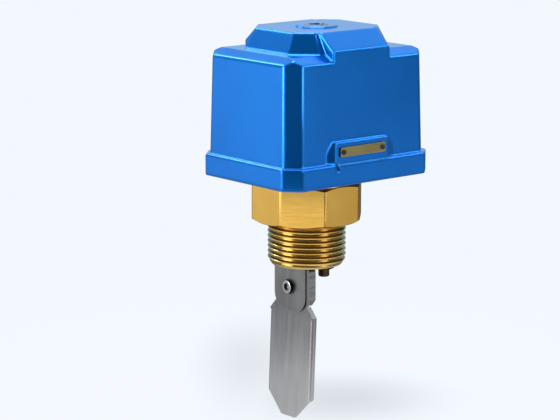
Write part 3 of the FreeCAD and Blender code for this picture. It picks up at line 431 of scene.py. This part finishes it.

# %% [markdown]
# ## Finishes
# Every finish starts from the same three patterns: a noise on Object coordinates, the edges that
# the Bevel node finds, which are painted paler for wear and, on the enamel and the brass, also as a
# painted highlight, and a small height for the bump.


# %% Pattern helpers
def object_noise(tree, scale, detail=4.0, stretch=(1, 1, 1), where=(-1200, 0)):
    """Noise on Object coordinates, with the pattern stretched along the axes."""
    mapping = add(tree, "ShaderNodeMapping", (where[0] - 200, where[1]))
    mapping.inputs["Scale"].default_value = stretch
    tree.links.new(coordinates(tree, where=(where[0] - 400, where[1])), mapping.inputs["Vector"])
    noise = add(tree, "ShaderNodeTexNoise", where)
    set_inputs(noise, Scale=scale, Detail=detail)
    tree.links.new(mapping.outputs["Vector"], noise.inputs["Vector"])
    return noise.outputs["Fac"]


def edge_mask(tree, radius, where=(-900, -500)):
    """Near 1 on edges and 0 on flats: how far a rounded normal leans from the true one."""
    rounded = add(tree, "ShaderNodeBevel", where, samples=4)
    rounded.inputs["Radius"].default_value = radius
    true = add(tree, "ShaderNodeNewGeometry", (where[0], where[1] - 200))
    agreement = vector_maths(tree, "DOT_PRODUCT", rounded.outputs["Normal"], true.outputs["Normal"])
    return mapped(tree, agreement, 1.0, 0.70)


# The paler edge stands for wear, and on the enamel and the brass also for a painted highlight.
def wear_and_highlight_colour(tree, radius, share, colour, pale_edge):
    """A colour with a paler one along the edges."""
    edge_paling = maths(tree, "MULTIPLY", edge_mask(tree, radius), share)
    return mix_colour(tree, edge_paling, colour, pale_edge)


def bump(tree, shader, height, strength, distance, soft_edge=0.0):
    """Feeds a height into the shader's normal, over edges softened by that radius."""
    node = add(tree, "ShaderNodeBump", (-100, -400))
    if soft_edge:
        rounded = add(tree, "ShaderNodeBevel", (-400, -400), samples=8)
        rounded.inputs["Radius"].default_value = soft_edge
        tree.links.new(rounded.outputs["Normal"], node.inputs["Normal"])
    set_inputs(node, Strength=strength, Distance=distance)
    tree.links.new(height, node.inputs["Height"])
    tree.links.new(node.outputs["Normal"], shader.inputs["Normal"])


print("pattern helpers ready")

# %% [markdown]
# The housing is a zinc casting under a glossy blue enamel. Real enamel is not one blue: it is a
# little deeper where it has pooled, it has the faint orange peel of spray, it runs over the
# edges in a soft round, and it is painted paler there, partly for wear and partly as a painted
# highlight.

# %% Blue enamel
blue_enamel, tree, shader = new_finish("blue_enamel")
pooled = object_noise(tree, 24.0, 3.0)
body_colour = ramp(tree, pooled, [(0.3, (0.002, 0.186, 0.70)), (0.7, (0.003, 0.216, 0.78))])
# Paler blue along the edges: partly wear, partly a painted highlight.
colour = wear_and_highlight_colour(tree, 0.0009, 0.55, body_colour, (0.10, 0.42, 0.95))
tree.links.new(colour, shader.inputs["Base Color"])
gloss = ramp(tree, object_noise(tree, 60.0, 5.0, where=(-1200, -1300)), [(0.3, 0.18), (0.75, 0.24)])
tree.links.new(gloss, shader.inputs["Roughness"])
set_inputs(shader, Metallic=0.75, Specular_IOR_Level=0.30, Coat_Weight=0.22, Coat_Roughness=0.07)
peel = object_noise(tree, 700.0, 2.0, where=(-1200, -1700))
bump(tree, shader, peel, 0.06, 0.0002, soft_edge=0.0016)
print("blue enamel: a pooled blue, pale edges and orange peel")

# %% [markdown]
# These marks come in several finishes. Freshly cut brass is paler below the shoulder, and the
# brass is painted dark in the thread's roots and on what faces upwards, as painted shade. The
# clamp plate and the paddle screw are painted near black on their sides, also painted shade. The
# paddle is darker towards its clamp.


# %% Painted shade and other marks
def face_lean(tree, axis):
    """How far each face looks along an axis."""
    facing = add(tree, "ShaderNodeNewGeometry", (-1400, -1900))
    return split_axes(tree, facing.outputs["True Normal"])[axis]


def thread_tone_and_shade(tree, colour, fresh):
    """Pale below the shoulder, with painted shade in the roots of the thread and on upward faces."""
    spot = coordinates(tree, where=(-1600, -1400))
    below = mapped(tree, split_axes(tree, spot, (-1400, -1400))["Z"], shoulder_z, shoulder_z - 0.0012)
    radius = vector_maths(tree, "LENGTH", vector_maths(tree, "MULTIPLY", spot, (1.0, 1.0, 0.0)))
    # Painted shade: dark in the thread's roots, and on faces that look upwards, such as the octagon's
    # top under the rim.
    root = mapped(tree, radius, 0.0161, 0.0154, 0.0, 0.38)
    upward = mapped(tree, face_lean(tree, "Z"), 0.70, 0.80, 0.0, 0.93)
    painted_shade = maths(tree, "MAXIMUM", maths(tree, "MULTIPLY", root, below), upward)
    return mix_colour(tree, painted_shade, mix_colour(tree, below, colour, fresh), (0.10, 0.035, 0.006))


def painted_side_shade(tree, colour):
    """The colour on faces square to the X axis, and near black on the others: painted shade."""
    lean = maths(tree, "ABSOLUTE", face_lean(tree, "X"), 0.0)
    return mix_colour(tree, mapped(tree, lean, 0.7, 0.5, 0.0, 0.97), colour, (0.012, 0.012, 0.013))


def darker_upwards(tree, colour, clear, full):
    """A grey darkening that grows from the clear height up to the full one."""
    height = split_axes(tree, coordinates(tree, where=(-1400, -2100)), (-1200, -2100))["Z"]
    return mix_colour(tree, mapped(tree, height, clear, full, 0.0, 0.42), colour, (0.10, 0.10, 0.10))


print("marks ready")

# %% [markdown]
# Brass parts on this switch are machined and left bare. They are bright where the tool has just
# passed, browner where they have been handled, and turned faces show fine rings.


# %% Brass
def make_brass(name, light, dark, rough_low, rough_high, rings, fresh=None, depth=0.12):
    """Bare brass between two colours, with its streaks stretched as the rings lie."""
    material, tree, shader = new_finish(name)
    tone = ramp(tree, object_noise(tree, 55.0, 6.0), [(0.32, light), (0.72, dark)])
    # Paler along the edges: partly wear, partly a painted highlight.
    colour = wear_and_highlight_colour(tree, 0.0005, 0.4, tone, (0.98, 0.74, 0.34))
    if fresh:
        # Paler below the shoulder, with painted shade in the thread's roots and on upward faces.
        colour = thread_tone_and_shade(tree, colour, fresh)
    tree.links.new(colour, shader.inputs["Base Color"])
    streaks = object_noise(tree, 700.0, 3.0, stretch=rings, where=(-1200, -1000))
    roughness = ramp(tree, streaks, [(0.3, rough_low), (0.75, rough_high)])
    tree.links.new(roughness, shader.inputs["Roughness"])
    set_inputs(shader, Metallic=1.0)
    bump(tree, shader, streaks, depth, 0.00015)
    return material


brass = make_brass("machined_brass", (0.96, 0.58, 0.13), (0.86, 0.49, 0.09), 0.20, 0.26,
                   (0.15, 0.15, 2.0), fresh=(0.97, 0.72, 0.27), depth=0.03)
strip_brass = make_brass("brass_strip", (0.38, 0.31, 0.13), (0.25, 0.19, 0.07), 0.24, 0.38,
                         (0.05, 1.0, 1.6))
dull_brass = make_brass("dull_brass", (0.13, 0.075, 0.035), (0.07, 0.038, 0.016), 0.24, 0.38,
                        (1, 1, 1))
bellows_bronze = make_brass("bellows_bronze", (0.70, 0.44, 0.19), (0.48, 0.27, 0.11), 0.28, 0.42,
                            (1, 1, 1))
print("four brasses")

# %% [markdown]
# Stainless sheet keeps the lines of the belt it was brushed with. Stretching a fine noise along
# one axis draws those lines, in the roughness as well as the bump. Zinc plate is brighter and
# has no grain, only a faint cloudiness.


# %% Steels
def make_steel(name, light, dark, rough_low, rough_high, grain, grain_scale, depth,
               groove_tone=0.82, shade_sides=False, darkening=None):
    """Bare or plated steel between two colours, with its grain stretched along the axes."""
    material, tree, shader = new_finish(name)
    lines = object_noise(tree, grain_scale, 3.0, stretch=grain, where=(-1200, -800))
    tone = ramp(tree, object_noise(tree, 45.0, 5.0), [(0.3, light), (0.72, dark)])
    darker = ramp(tree, lines, [(0.35, groove_tone), (0.65, 1.0)], (-900, -300))
    lined = mix_colour(tree, 1.0, tone, darker, (-500, 0), "MULTIPLY")
    colour = wear_and_highlight_colour(tree, 0.0004, 0.5, lined, (0.86, 0.87, 0.88))
    if shade_sides:
        colour = painted_side_shade(tree, colour)
    if darkening:
        colour = darker_upwards(tree, colour, *darkening)
    tree.links.new(colour, shader.inputs["Base Color"])
    roughness = ramp(tree, lines, [(0.3, rough_low), (0.7, rough_high)], (-900, -1100))
    tree.links.new(roughness, shader.inputs["Roughness"])
    set_inputs(shader, Metallic=1.0)
    bump(tree, shader, lines, depth, 0.0001)
    return material


# The blade is painted darker towards its clamp, from the first height up to the second.
darkening_heights = (place(0, 0, -66).z, place(0, 0, -38).z)
brushed_blade = make_steel("brushed_stainless", (0.53, 0.52, 0.515), (0.44, 0.43, 0.43), 0.28, 0.36,
                           (1, 1, 0.02), 900.0, 0.03, 0.93, darkening=darkening_heights)
# The clamp plate and the paddle screw are painted near black on their sides: painted shade along the
# clamp's edges and beside the screw's head.
clamp_steel = make_steel("clamp_stainless", (0.36, 0.355, 0.35), (0.28, 0.275, 0.27), 0.28, 0.38,
                         (1, 1, 0.05), 900.0, 0.03, 0.93, shade_sides=True)
paddle_bolt = make_steel("side_shaded_screw", (0.80, 0.80, 0.79), (0.70, 0.70, 0.69), 0.18, 0.30,
                         (1, 1, 1), 400.0, 0.05, 0.92, shade_sides=True)
# Black oxide steel. On the cover screw and the lock washer it is painted shade: in the screw's hole,
# and beside the paddle screw's head.
dark_steel_and_shade = make_steel("black_oxide_and_shade", (0.075, 0.075, 0.08), (0.04, 0.04, 0.045), 0.30, 0.45,
                        (1, 1, 1), 400.0, 0.05)
machined_bar = make_steel("machined_stainless", (0.42, 0.42, 0.415), (0.31, 0.31, 0.31), 0.26, 0.40,
                          (0.1, 0.1, 1), 900.0, 0.12)
zinc_plate = make_steel("zinc_plate", (0.80, 0.81, 0.84), (0.70, 0.71, 0.73), 0.32, 0.46,
                        (1, 1, 1), 300.0, 0.04, 0.92)
spring_wire = make_steel("spring_wire", (0.36, 0.37, 0.39), (0.26, 0.27, 0.29), 0.24, 0.36,
                         (1, 1, 1), 500.0, 0.05)
bright_screw = make_steel("bright_screw", (0.72, 0.72, 0.73), (0.60, 0.60, 0.62), 0.18, 0.30,
                          (1, 1, 1), 400.0, 0.05, 0.92)
print("eight steels")

# %% [markdown]
# The switch case is phenolic moulding, nearly black with a fine grain. The plunger is a red
# moulding, the gaskets are rubber, and the ground screw is dyed green so that it is known.


# %% Plastics, rubber and dye
def make_moulding(name, light, dark, rough_low, rough_high, grain_scale, depth, metallic=0.0):
    """Moulded or dyed stuff between two colours, with a fine grain and rubbed edges."""
    material, tree, shader = new_finish(name)
    tone = ramp(tree, object_noise(tree, 120.0, 5.0), [(0.3, light), (0.7, dark)])
    rubbed = tuple(min(1.0, channel * 1.6 + 0.02) for channel in light)
    colour = wear_and_highlight_colour(tree, 0.0004, 0.5, tone, rubbed)
    tree.links.new(colour, shader.inputs["Base Color"])
    grain = object_noise(tree, grain_scale, 4.0, where=(-1200, -900))
    roughness = ramp(tree, grain, [(0.3, rough_low), (0.7, rough_high)])
    tree.links.new(roughness, shader.inputs["Roughness"])
    set_inputs(shader, Metallic=metallic)
    bump(tree, shader, grain, depth, 0.0001)
    return material


phenolic = make_moulding("black_phenolic", (0.030, 0.030, 0.033), (0.018, 0.018, 0.020), 0.38, 0.52,
                         1400.0, 0.12)
red_moulding = make_moulding("red_moulding", (0.50, 0.035, 0.030), (0.38, 0.020, 0.020), 0.26, 0.38,
                             900.0, 0.05)
gasket_rubber = make_moulding("gasket_rubber", (0.030, 0.030, 0.030), (0.020, 0.020, 0.020), 0.65, 0.85,
                              1100.0, 0.25)
green_dye = make_moulding("green_dye", (0.05, 0.30, 0.10), (0.03, 0.20, 0.06), 0.28, 0.42,
                          500.0, 0.05, metallic=0.7)
print("plastics, rubber and dye")

# %% [markdown]
# Every CAD solid takes its finish here. A solid whose shape is right stays as it is, and only its
# material slots are filled.

# %% Finishes on the solids
# The cover screw and the lock washer take the dark steel as painted shade.
finish_of = {
    "cover": blue_enamel, "nameplate": strip_brass, "nameplate_pins": dark_steel_and_shade,
    "screw_eyelet": spring_wire, "cover_screw": dark_steel_and_shade, "brass_body": brass, "stop_lug": dull_brass,
    "body_gasket": gasket_rubber, "cover_gasket": gasket_rubber, "base_plate": zinc_plate,
    "body_screws": bright_screw, "ground_screw": green_dye, "frame_bracket": zinc_plate,
    "cover_post": bright_screw, "pivot_pin": bright_screw, "pivot_clip": spring_wire,
    "switch_case": phenolic, "leaf_pin": brass, "switch_screws": bright_screw,
    "terminal_plates": brass, "terminal_screws": bright_screw, "switch_bracket": zinc_plate,
    "bracket_screws": bright_screw, "range_spring": spring_wire, "paddle_lever": machined_bar,
    "bellows": bellows_bronze, "paddle_blade": brushed_blade, "clamp_plate": clamp_steel,
    "lock_washer": dark_steel_and_shade, "paddle_screw": paddle_bolt, "switch_leaf": brushed_blade,
    "switch_plunger": red_moulding, "range_screw": bright_screw, "spring_seat": zinc_plate,
}
for node_name, finish in finish_of.items():
    solid = nodes[node_name]
    solid.data.materials.clear()
    solid.data.materials.append(finish)
print(len(finish_of), "solids finished, of", len(nodes))

# %% [markdown]
# ## The pipe thread
# The solid has a plain cylinder where the real body has a cut thread. A real thread is a V that
# a tool cuts along a helix, so it is made the same way: Geometry Nodes sweep the tool's outline
# along a spiral, and a Boolean takes that sweep out of a copy of the body.


# %% Helix sweep
def helix_tree(name):
    """A node tree that sweeps a profile along a helix about the Z axis."""
    tree = bpy.data.node_groups.new(name, "GeometryNodeTree")
    tree.interface.new_socket("Geometry", in_out="INPUT", socket_type="NodeSocketGeometry")
    for label, value in (("Radius", 0.015), ("Turns", 8.0), ("Height", 0.02)):
        socket = tree.interface.new_socket(label, in_out="INPUT", socket_type="NodeSocketFloat")
        socket.default_value = value
    resolution = tree.interface.new_socket("Steps a turn", in_out="INPUT", socket_type="NodeSocketInt")
    resolution.default_value = 96
    tree.interface.new_socket("Profile", in_out="INPUT", socket_type="NodeSocketObject")
    tree.interface.new_socket("Finish", in_out="INPUT", socket_type="NodeSocketMaterial")
    tree.interface.new_socket("Geometry", in_out="OUTPUT", socket_type="NodeSocketGeometry")
    start = add(tree, "NodeGroupInput", (-800, 0))
    spiral = add(tree, "GeometryNodeCurveSpiral", (-500, 100))
    for label, target in (("Steps a turn", "Resolution"), ("Turns", "Rotations"), ("Height", "Height"),
                          ("Radius", "Start Radius"), ("Radius", "End Radius")):
        tree.links.new(start.outputs[label], spiral.inputs[target])
    upright = add(tree, "GeometryNodeSetCurveNormal", (-300, 100))
    upright.mode = "Z_UP"
    section = add(tree, "GeometryNodeObjectInfo", (-300, -200))
    sweep = add(tree, "GeometryNodeCurveToMesh", (0, 0))
    sweep.inputs["Fill Caps"].default_value = True
    real = add(tree, "GeometryNodeRealizeInstances", (200, 0))
    finish = add(tree, "GeometryNodeSetMaterial", (400, 0))
    end = add(tree, "NodeGroupOutput", (600, 0))
    for source, target in ((spiral.outputs["Curve"], upright.inputs["Curve"]),
                           (start.outputs["Profile"], section.inputs["Object"]),
                           (upright.outputs["Curve"], sweep.inputs["Curve"]),
                           (section.outputs["Geometry"], sweep.inputs["Profile Curve"]),
                           (sweep.outputs["Mesh"], real.inputs["Geometry"]),
                           (real.outputs["Geometry"], finish.inputs["Geometry"]),
                           (start.outputs["Finish"], finish.inputs["Material"]),
                           (finish.outputs["Geometry"], end.inputs["Geometry"])):
        tree.links.new(source, target)
    return tree


print("helix tree defined")

# %% [markdown]
# The sweep carries an outline along the spiral. The outline is a flat curve, drawn as the tool's
# edge would be seen from its side.


# %% Outline of the tool
def section_curve(name, points):
    """A closed outline for the sweep. The points are (outwards, upwards) from the helix."""
    data = bpy.data.curves.new(name, "CURVE")
    data.dimensions = "2D"
    line = data.splines.new("POLY")
    line.points.add(len(points) - 1)
    for corner, (outwards, upwards) in zip(line.points, points):
        corner.co = (-outwards, upwards, 0.0, 1.0)
    line.use_cyclic_u = True
    thing = bpy.data.objects.new(name, data)
    bpy.context.scene.collection.objects.link(thing)
    return thing


print("outline helper ready")

# %% [markdown]
# The sweep becomes a plain mesh before it is used, because a Boolean and the export both want
# real geometry. Inputs are set by their identifiers, before the modifier is first evaluated.


# %% From tree to mesh
def plain_mesh(name, tree, inputs):
    """A new object whose mesh is what the tree makes with these inputs."""
    seed = bpy.data.objects.new(name, bpy.data.meshes.new(name + "_seed"))
    bpy.context.scene.collection.objects.link(seed)
    modifier = seed.modifiers.new("shape", "NODES")
    modifier.node_group = tree
    identifier = {item.name: item.identifier for item in tree.interface.items_tree
                  if item.item_type == "SOCKET" and item.in_out == "INPUT"}
    for label, value in inputs.items():
        modifier[identifier[label]] = value
    depsgraph = bpy.context.evaluated_depsgraph_get()
    made = bpy.data.meshes.new_from_object(seed.evaluated_get(depsgraph))
    seed.modifiers.remove(modifier)
    seed.data = made
    made.name = name
    return seed


print("a tree can be made a plain mesh")

# %% [markdown]
# The other edits are done in bmesh, which holds a mesh apart from the scene while it is worked
# on. It is opened and closed in the same way each time, so one helper does both.


# %% Mesh edits
@contextmanager
def edited(thing):
    """Opens an object's mesh in bmesh, and writes it back when the block ends."""
    work = bmesh.new()
    work.from_mesh(thing.data)
    yield work
    work.to_mesh(thing.data)
    work.free()


def outward(thing):
    """Merges doubled corners and turns every face outwards."""
    with edited(thing) as work:
        bmesh.ops.remove_doubles(work, verts=work.verts, dist=0.000001)
        bmesh.ops.recalc_face_normals(work, faces=work.faces)


def shade_by_angle(thing, degrees):
    """Smooth faces, with an edge kept sharp where it turns by more than the angle."""
    sharp = math.radians(degrees)
    with edited(thing) as work:
        for face in work.faces:
            face.smooth = True
        for edge in work.edges:
            edge.smooth = len(edge.link_faces) == 2 and edge.calc_face_angle(0.0) < sharp


print("mesh edits ready")

# %% [markdown]
# A CAD solid is never cut itself: a copy is joined up, cut, and put in its place. Where two
# surfaces graze each other, a Boolean can leave crumbs, which are loose bits of a few faces. They
# are looked for island by island, and deleted.


# %% Copies and cuts
def copy_of(node_name, name):
    """A copy of a CAD solid with its loose triangles joined up, for cutting."""
    thing = bpy.data.objects.new(name, nodes[node_name].data.copy())
    bpy.context.scene.collection.objects.link(thing)
    for attribute in [a.name for a in thing.data.attributes if a.name == "custom_normal"]:
        thing.data.attributes.remove(thing.data.attributes[attribute])
    outward(thing)
    return thing


def cut(thing, cutter):
    """Takes the cutter out of the thing for good, and removes the cutter."""
    modifier = thing.modifiers.new("cut", "BOOLEAN")
    modifier.operation = "DIFFERENCE"
    modifier.solver = "EXACT"
    modifier.object = cutter
    depsgraph = bpy.context.evaluated_depsgraph_get()
    made = bpy.data.meshes.new_from_object(thing.evaluated_get(depsgraph))
    thing.modifiers.remove(modifier)
    thing.data = made
    bpy.data.objects.remove(cutter)


def drop_crumbs(thing, least=12):
    """Deletes islands of fewer faces than the least, and returns how many faces went."""
    tiny = 0.0000005                           # half a thousandth of a millimetre
    crumbs = []
    with edited(thing) as work:
        bmesh.ops.remove_doubles(work, verts=work.verts, dist=tiny)
        bmesh.ops.dissolve_degenerate(work, edges=work.edges, dist=tiny)
        waiting = set(work.faces)
        while waiting:
            island, border = [], [waiting.pop()]
            while border:
                face = border.pop()
                island.append(face)
                for neighbour in (f for edge in face.edges for f in edge.link_faces if f in waiting):
                    waiting.discard(neighbour)
                    border.append(neighbour)
            if len(island) < least:
                crumbs += island
        bmesh.ops.delete(work, geom=crumbs, context="FACES")
    return len(crumbs)


print("copies and cuts ready")

# %% [markdown]
# The pipe thread has 11.5 turns to the inch. Its groove is one smooth wave with a round root, a
# little narrower than the pitch, so that a flat crest stays. The sweep starts below the thread's
# end and stops a little under the shoulder.

# %% Pipe thread
thread_r = 16.7
thread_pitch = 25.4 / 11.5
groove_depth = 0.62 * thread_pitch
groove_share = 0.92                            # the groove's width in pitches: the rest is crest
root_fullness = 0.85                           # under 1, the root is wider than a cosine's
thread_top = -1.7
thread_turns = 8.6


def groove_points(depth, width, spare, steps=12):
    """One wave, from a crest through the root to the next, closed outside the thread. In mm."""
    wave = []
    for k in range(steps + 1):
        share = k / steps - 0.5
        fall = (0.5 + 0.5 * math.cos(2 * math.pi * share)) ** root_fullness
        wave.append(((depth - fall * depth) * MM, share * width * MM))
    outside = (depth + spare) * MM
    return wave + [(outside, 0.5 * width * MM), (outside, -0.5 * width * MM)]


sweep_tree = helix_tree("helix_sweep")
section = section_curve("groove_section",
                        groove_points(groove_depth, groove_share * thread_pitch, 0.15))
groove = plain_mesh("thread_groove", sweep_tree, {
    "Radius": (thread_r - groove_depth) * MM, "Turns": thread_turns,
    "Height": thread_turns * thread_pitch * MM, "Steps a turn": 96, "Profile": section,
    "Finish": brass})
bpy.data.objects.remove(section)
groove_foot = thread_top - thread_turns * thread_pitch
groove.data.transform(Matrix.Translation(place(0, 0, groove_foot)))
outward(groove)
low = min(v.co.z for v in groove.data.vertices)
high = max(v.co.z for v in groove.data.vertices)
wide = max(math.hypot(v.co.x, v.co.y) for v in groove.data.vertices)
print("groove", len(groove.data.vertices), "corners, height", round(low, 4), round(high, 4),
      "radius", round(wide, 5))

# %% [markdown]
# The thread's end is turned to a taper, so that it starts easily in the tee. The octagon's top is
# turned to a slope of thirty degrees, as hexagon nuts are. Both are rings to be cut away.


# %% Turned rings
def lathe(name, outline, steps=128):
    """A ring turned about the Z axis. The outline is a closed list of (radius, height), in mm."""
    work = bmesh.new()
    rings = []
    for k in range(steps):
        turn = 2 * math.pi * k / steps
        rings.append([work.verts.new(place(radius * math.cos(turn), radius * math.sin(turn), height))
                      for radius, height in outline])
    for k in range(steps):
        here, there = rings[k], rings[(k + 1) % steps]
        for j in range(len(outline)):
            following = (j + 1) % len(outline)
            work.faces.new((here[j], there[j], there[following], here[following]))
    bmesh.ops.recalc_face_normals(work, faces=work.faces)
    mesh = bpy.data.meshes.new(name)
    work.to_mesh(mesh)
    work.free()
    thing = bpy.data.objects.new(name, mesh)
    bpy.context.scene.collection.objects.link(thing)
    return thing


octagon_r = 22.625
octagon_shoulder = 16.7
crown_bore, crown_top = 21.45, 22.0            # the ring's inner radius and its top
crown_reach = 3.4                              # how far it goes outside the octagon
crown_drop = crown_reach * math.tan(math.radians(30))
crown_r = octagon_r + crown_reach
crown = lathe("octagon_crown", [(crown_bore, octagon_shoulder), (octagon_r, octagon_shoulder),
                                (crown_r, octagon_shoulder - crown_drop),
                                (crown_r, crown_top), (crown_bore, crown_top)])
thread_end = -thread_length
taper_drop = 2.6                               # the taper's length along the thread
taper_depth = 1.75                             # what it takes off the radius at the end
clear = 1.0                                    # how far the ring stands outside the metal
taper = lathe("thread_taper", [(thread_r - taper_depth, thread_end),
                               (thread_r - taper_depth, thread_end - clear),
                               (thread_r + clear, thread_end - clear),
                               (thread_r + clear, thread_end + taper_drop + 1.5 * clear),
                               (thread_r, thread_end + taper_drop)])
print("crown and taper rings,", len(crown.data.polygons), "and", len(taper.data.polygons), "faces")

# %% [markdown]
# The octagon's upright corners are softened a little, as a file leaves them. The helper looks for
# long upright edges far from the axis, so that small details stay as they are.


# %% Softened corners
def bevel_uprights(thing, least, width, beyond):
    """Bevels upright edges longer than the least, and further from the axis than beyond, in mm."""
    upright = 0.05 * MM
    sharp = math.radians(30)
    chosen = []
    with edited(thing) as work:
        for edge in work.edges:
            first, second = (v.co for v in edge.verts)
            level = math.hypot(first.x - second.x, first.y - second.y)
            if len(edge.link_faces) != 2 or level > upright or abs(first.z - second.z) < least * MM:
                continue
            if math.hypot(first.x, first.y) > beyond * MM and edge.calc_face_angle(0.0) > sharp:
                chosen.append(edge)
        bmesh.ops.bevel(work, geom=chosen, offset=width * MM, segments=2, affect="EDGES", profile=0.5)
    return len(chosen)


print("corner helper ready")

# %% [markdown]
# The body is cut in the order of the lathe's work: the slope on its crown, the thread, and the
# taper at the end. It then takes the solid's place.

# %% Brass body with its thread
crease = 38.0                                  # an edge that turns by more, in degrees, stays sharp
body = copy_of("brass_body", "threaded_body")
before = len(body.data.polygons)
bevelled = bevel_uprights(body, least=6.0, width=0.45, beyond=23.0)
cut(body, crown)
cut(body, groove)
cut(body, taper)
print("crumbs", drop_crumbs(body))
body.data.materials.clear()
body.data.materials.append(brass)
shade_by_angle(body, crease)
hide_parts("brass_body")
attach(body, "switch_body")
print("threaded body:", before, "faces before the cut and", len(body.data.polygons), "after,",
      bevelled, "corners softened")

# %% [markdown]
# The range screw is an M4 with its coarse pitch. The same sweep cuts its thread, from under the
# frame's top down past its end.

# %% Range screw
screw_r = 2.0
screw_pitch = 0.7
screw_depth = 0.43
screw_turns = 22.0
screw_x = 13.0
screw_foot = 39.62                             # where the sweep starts, clear below the screw's end
root_half, mouth_half = 0.04 * MM, 0.33 * MM   # half the groove's width at its root and mouth
mouth = (screw_depth + 0.08) * MM              # its depth, and a little outside the metal
section = section_curve("screw_section", [(0.0, -root_half), (mouth, -mouth_half),
                                          (mouth, mouth_half), (0.0, root_half)])
screw_groove = plain_mesh("screw_groove", sweep_tree, {
    "Radius": (screw_r - screw_depth) * MM, "Turns": screw_turns,
    "Height": screw_turns * screw_pitch * MM, "Steps a turn": 24, "Profile": section,
    "Finish": bright_screw})
bpy.data.objects.remove(section)
screw_groove.data.transform(Matrix.Translation(place(screw_x, 0, screw_foot)))
outward(screw_groove)
screw = copy_of("range_screw", "threaded_range_screw")
before = len(screw.data.polygons)
cut(screw, screw_groove)
drop_crumbs(screw)
screw.data.materials.clear()
screw.data.materials.append(bright_screw)
shade_by_angle(screw, crease)
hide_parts("range_screw")
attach(screw, "adjusting_screw")
print("range screw:", before, "faces before the cut and", len(screw.data.polygons), "after")

# %% [markdown]
# The range spring presses down on the paddle lever's arm, so it shortens when the paddle swings.
# A copy of it takes the solid's place.

# %% Range spring
spring = copy_of("range_spring", "range_spring_wire")
spring.data.materials.clear()
spring.data.materials.append(spring_wire)
shade_by_angle(spring, 40.0)
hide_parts("range_spring")
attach(spring, "switch_body")
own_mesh(spring)

# %% [markdown]
# Last, the script says that it has finished.

# %% Done
print("scene dressed")
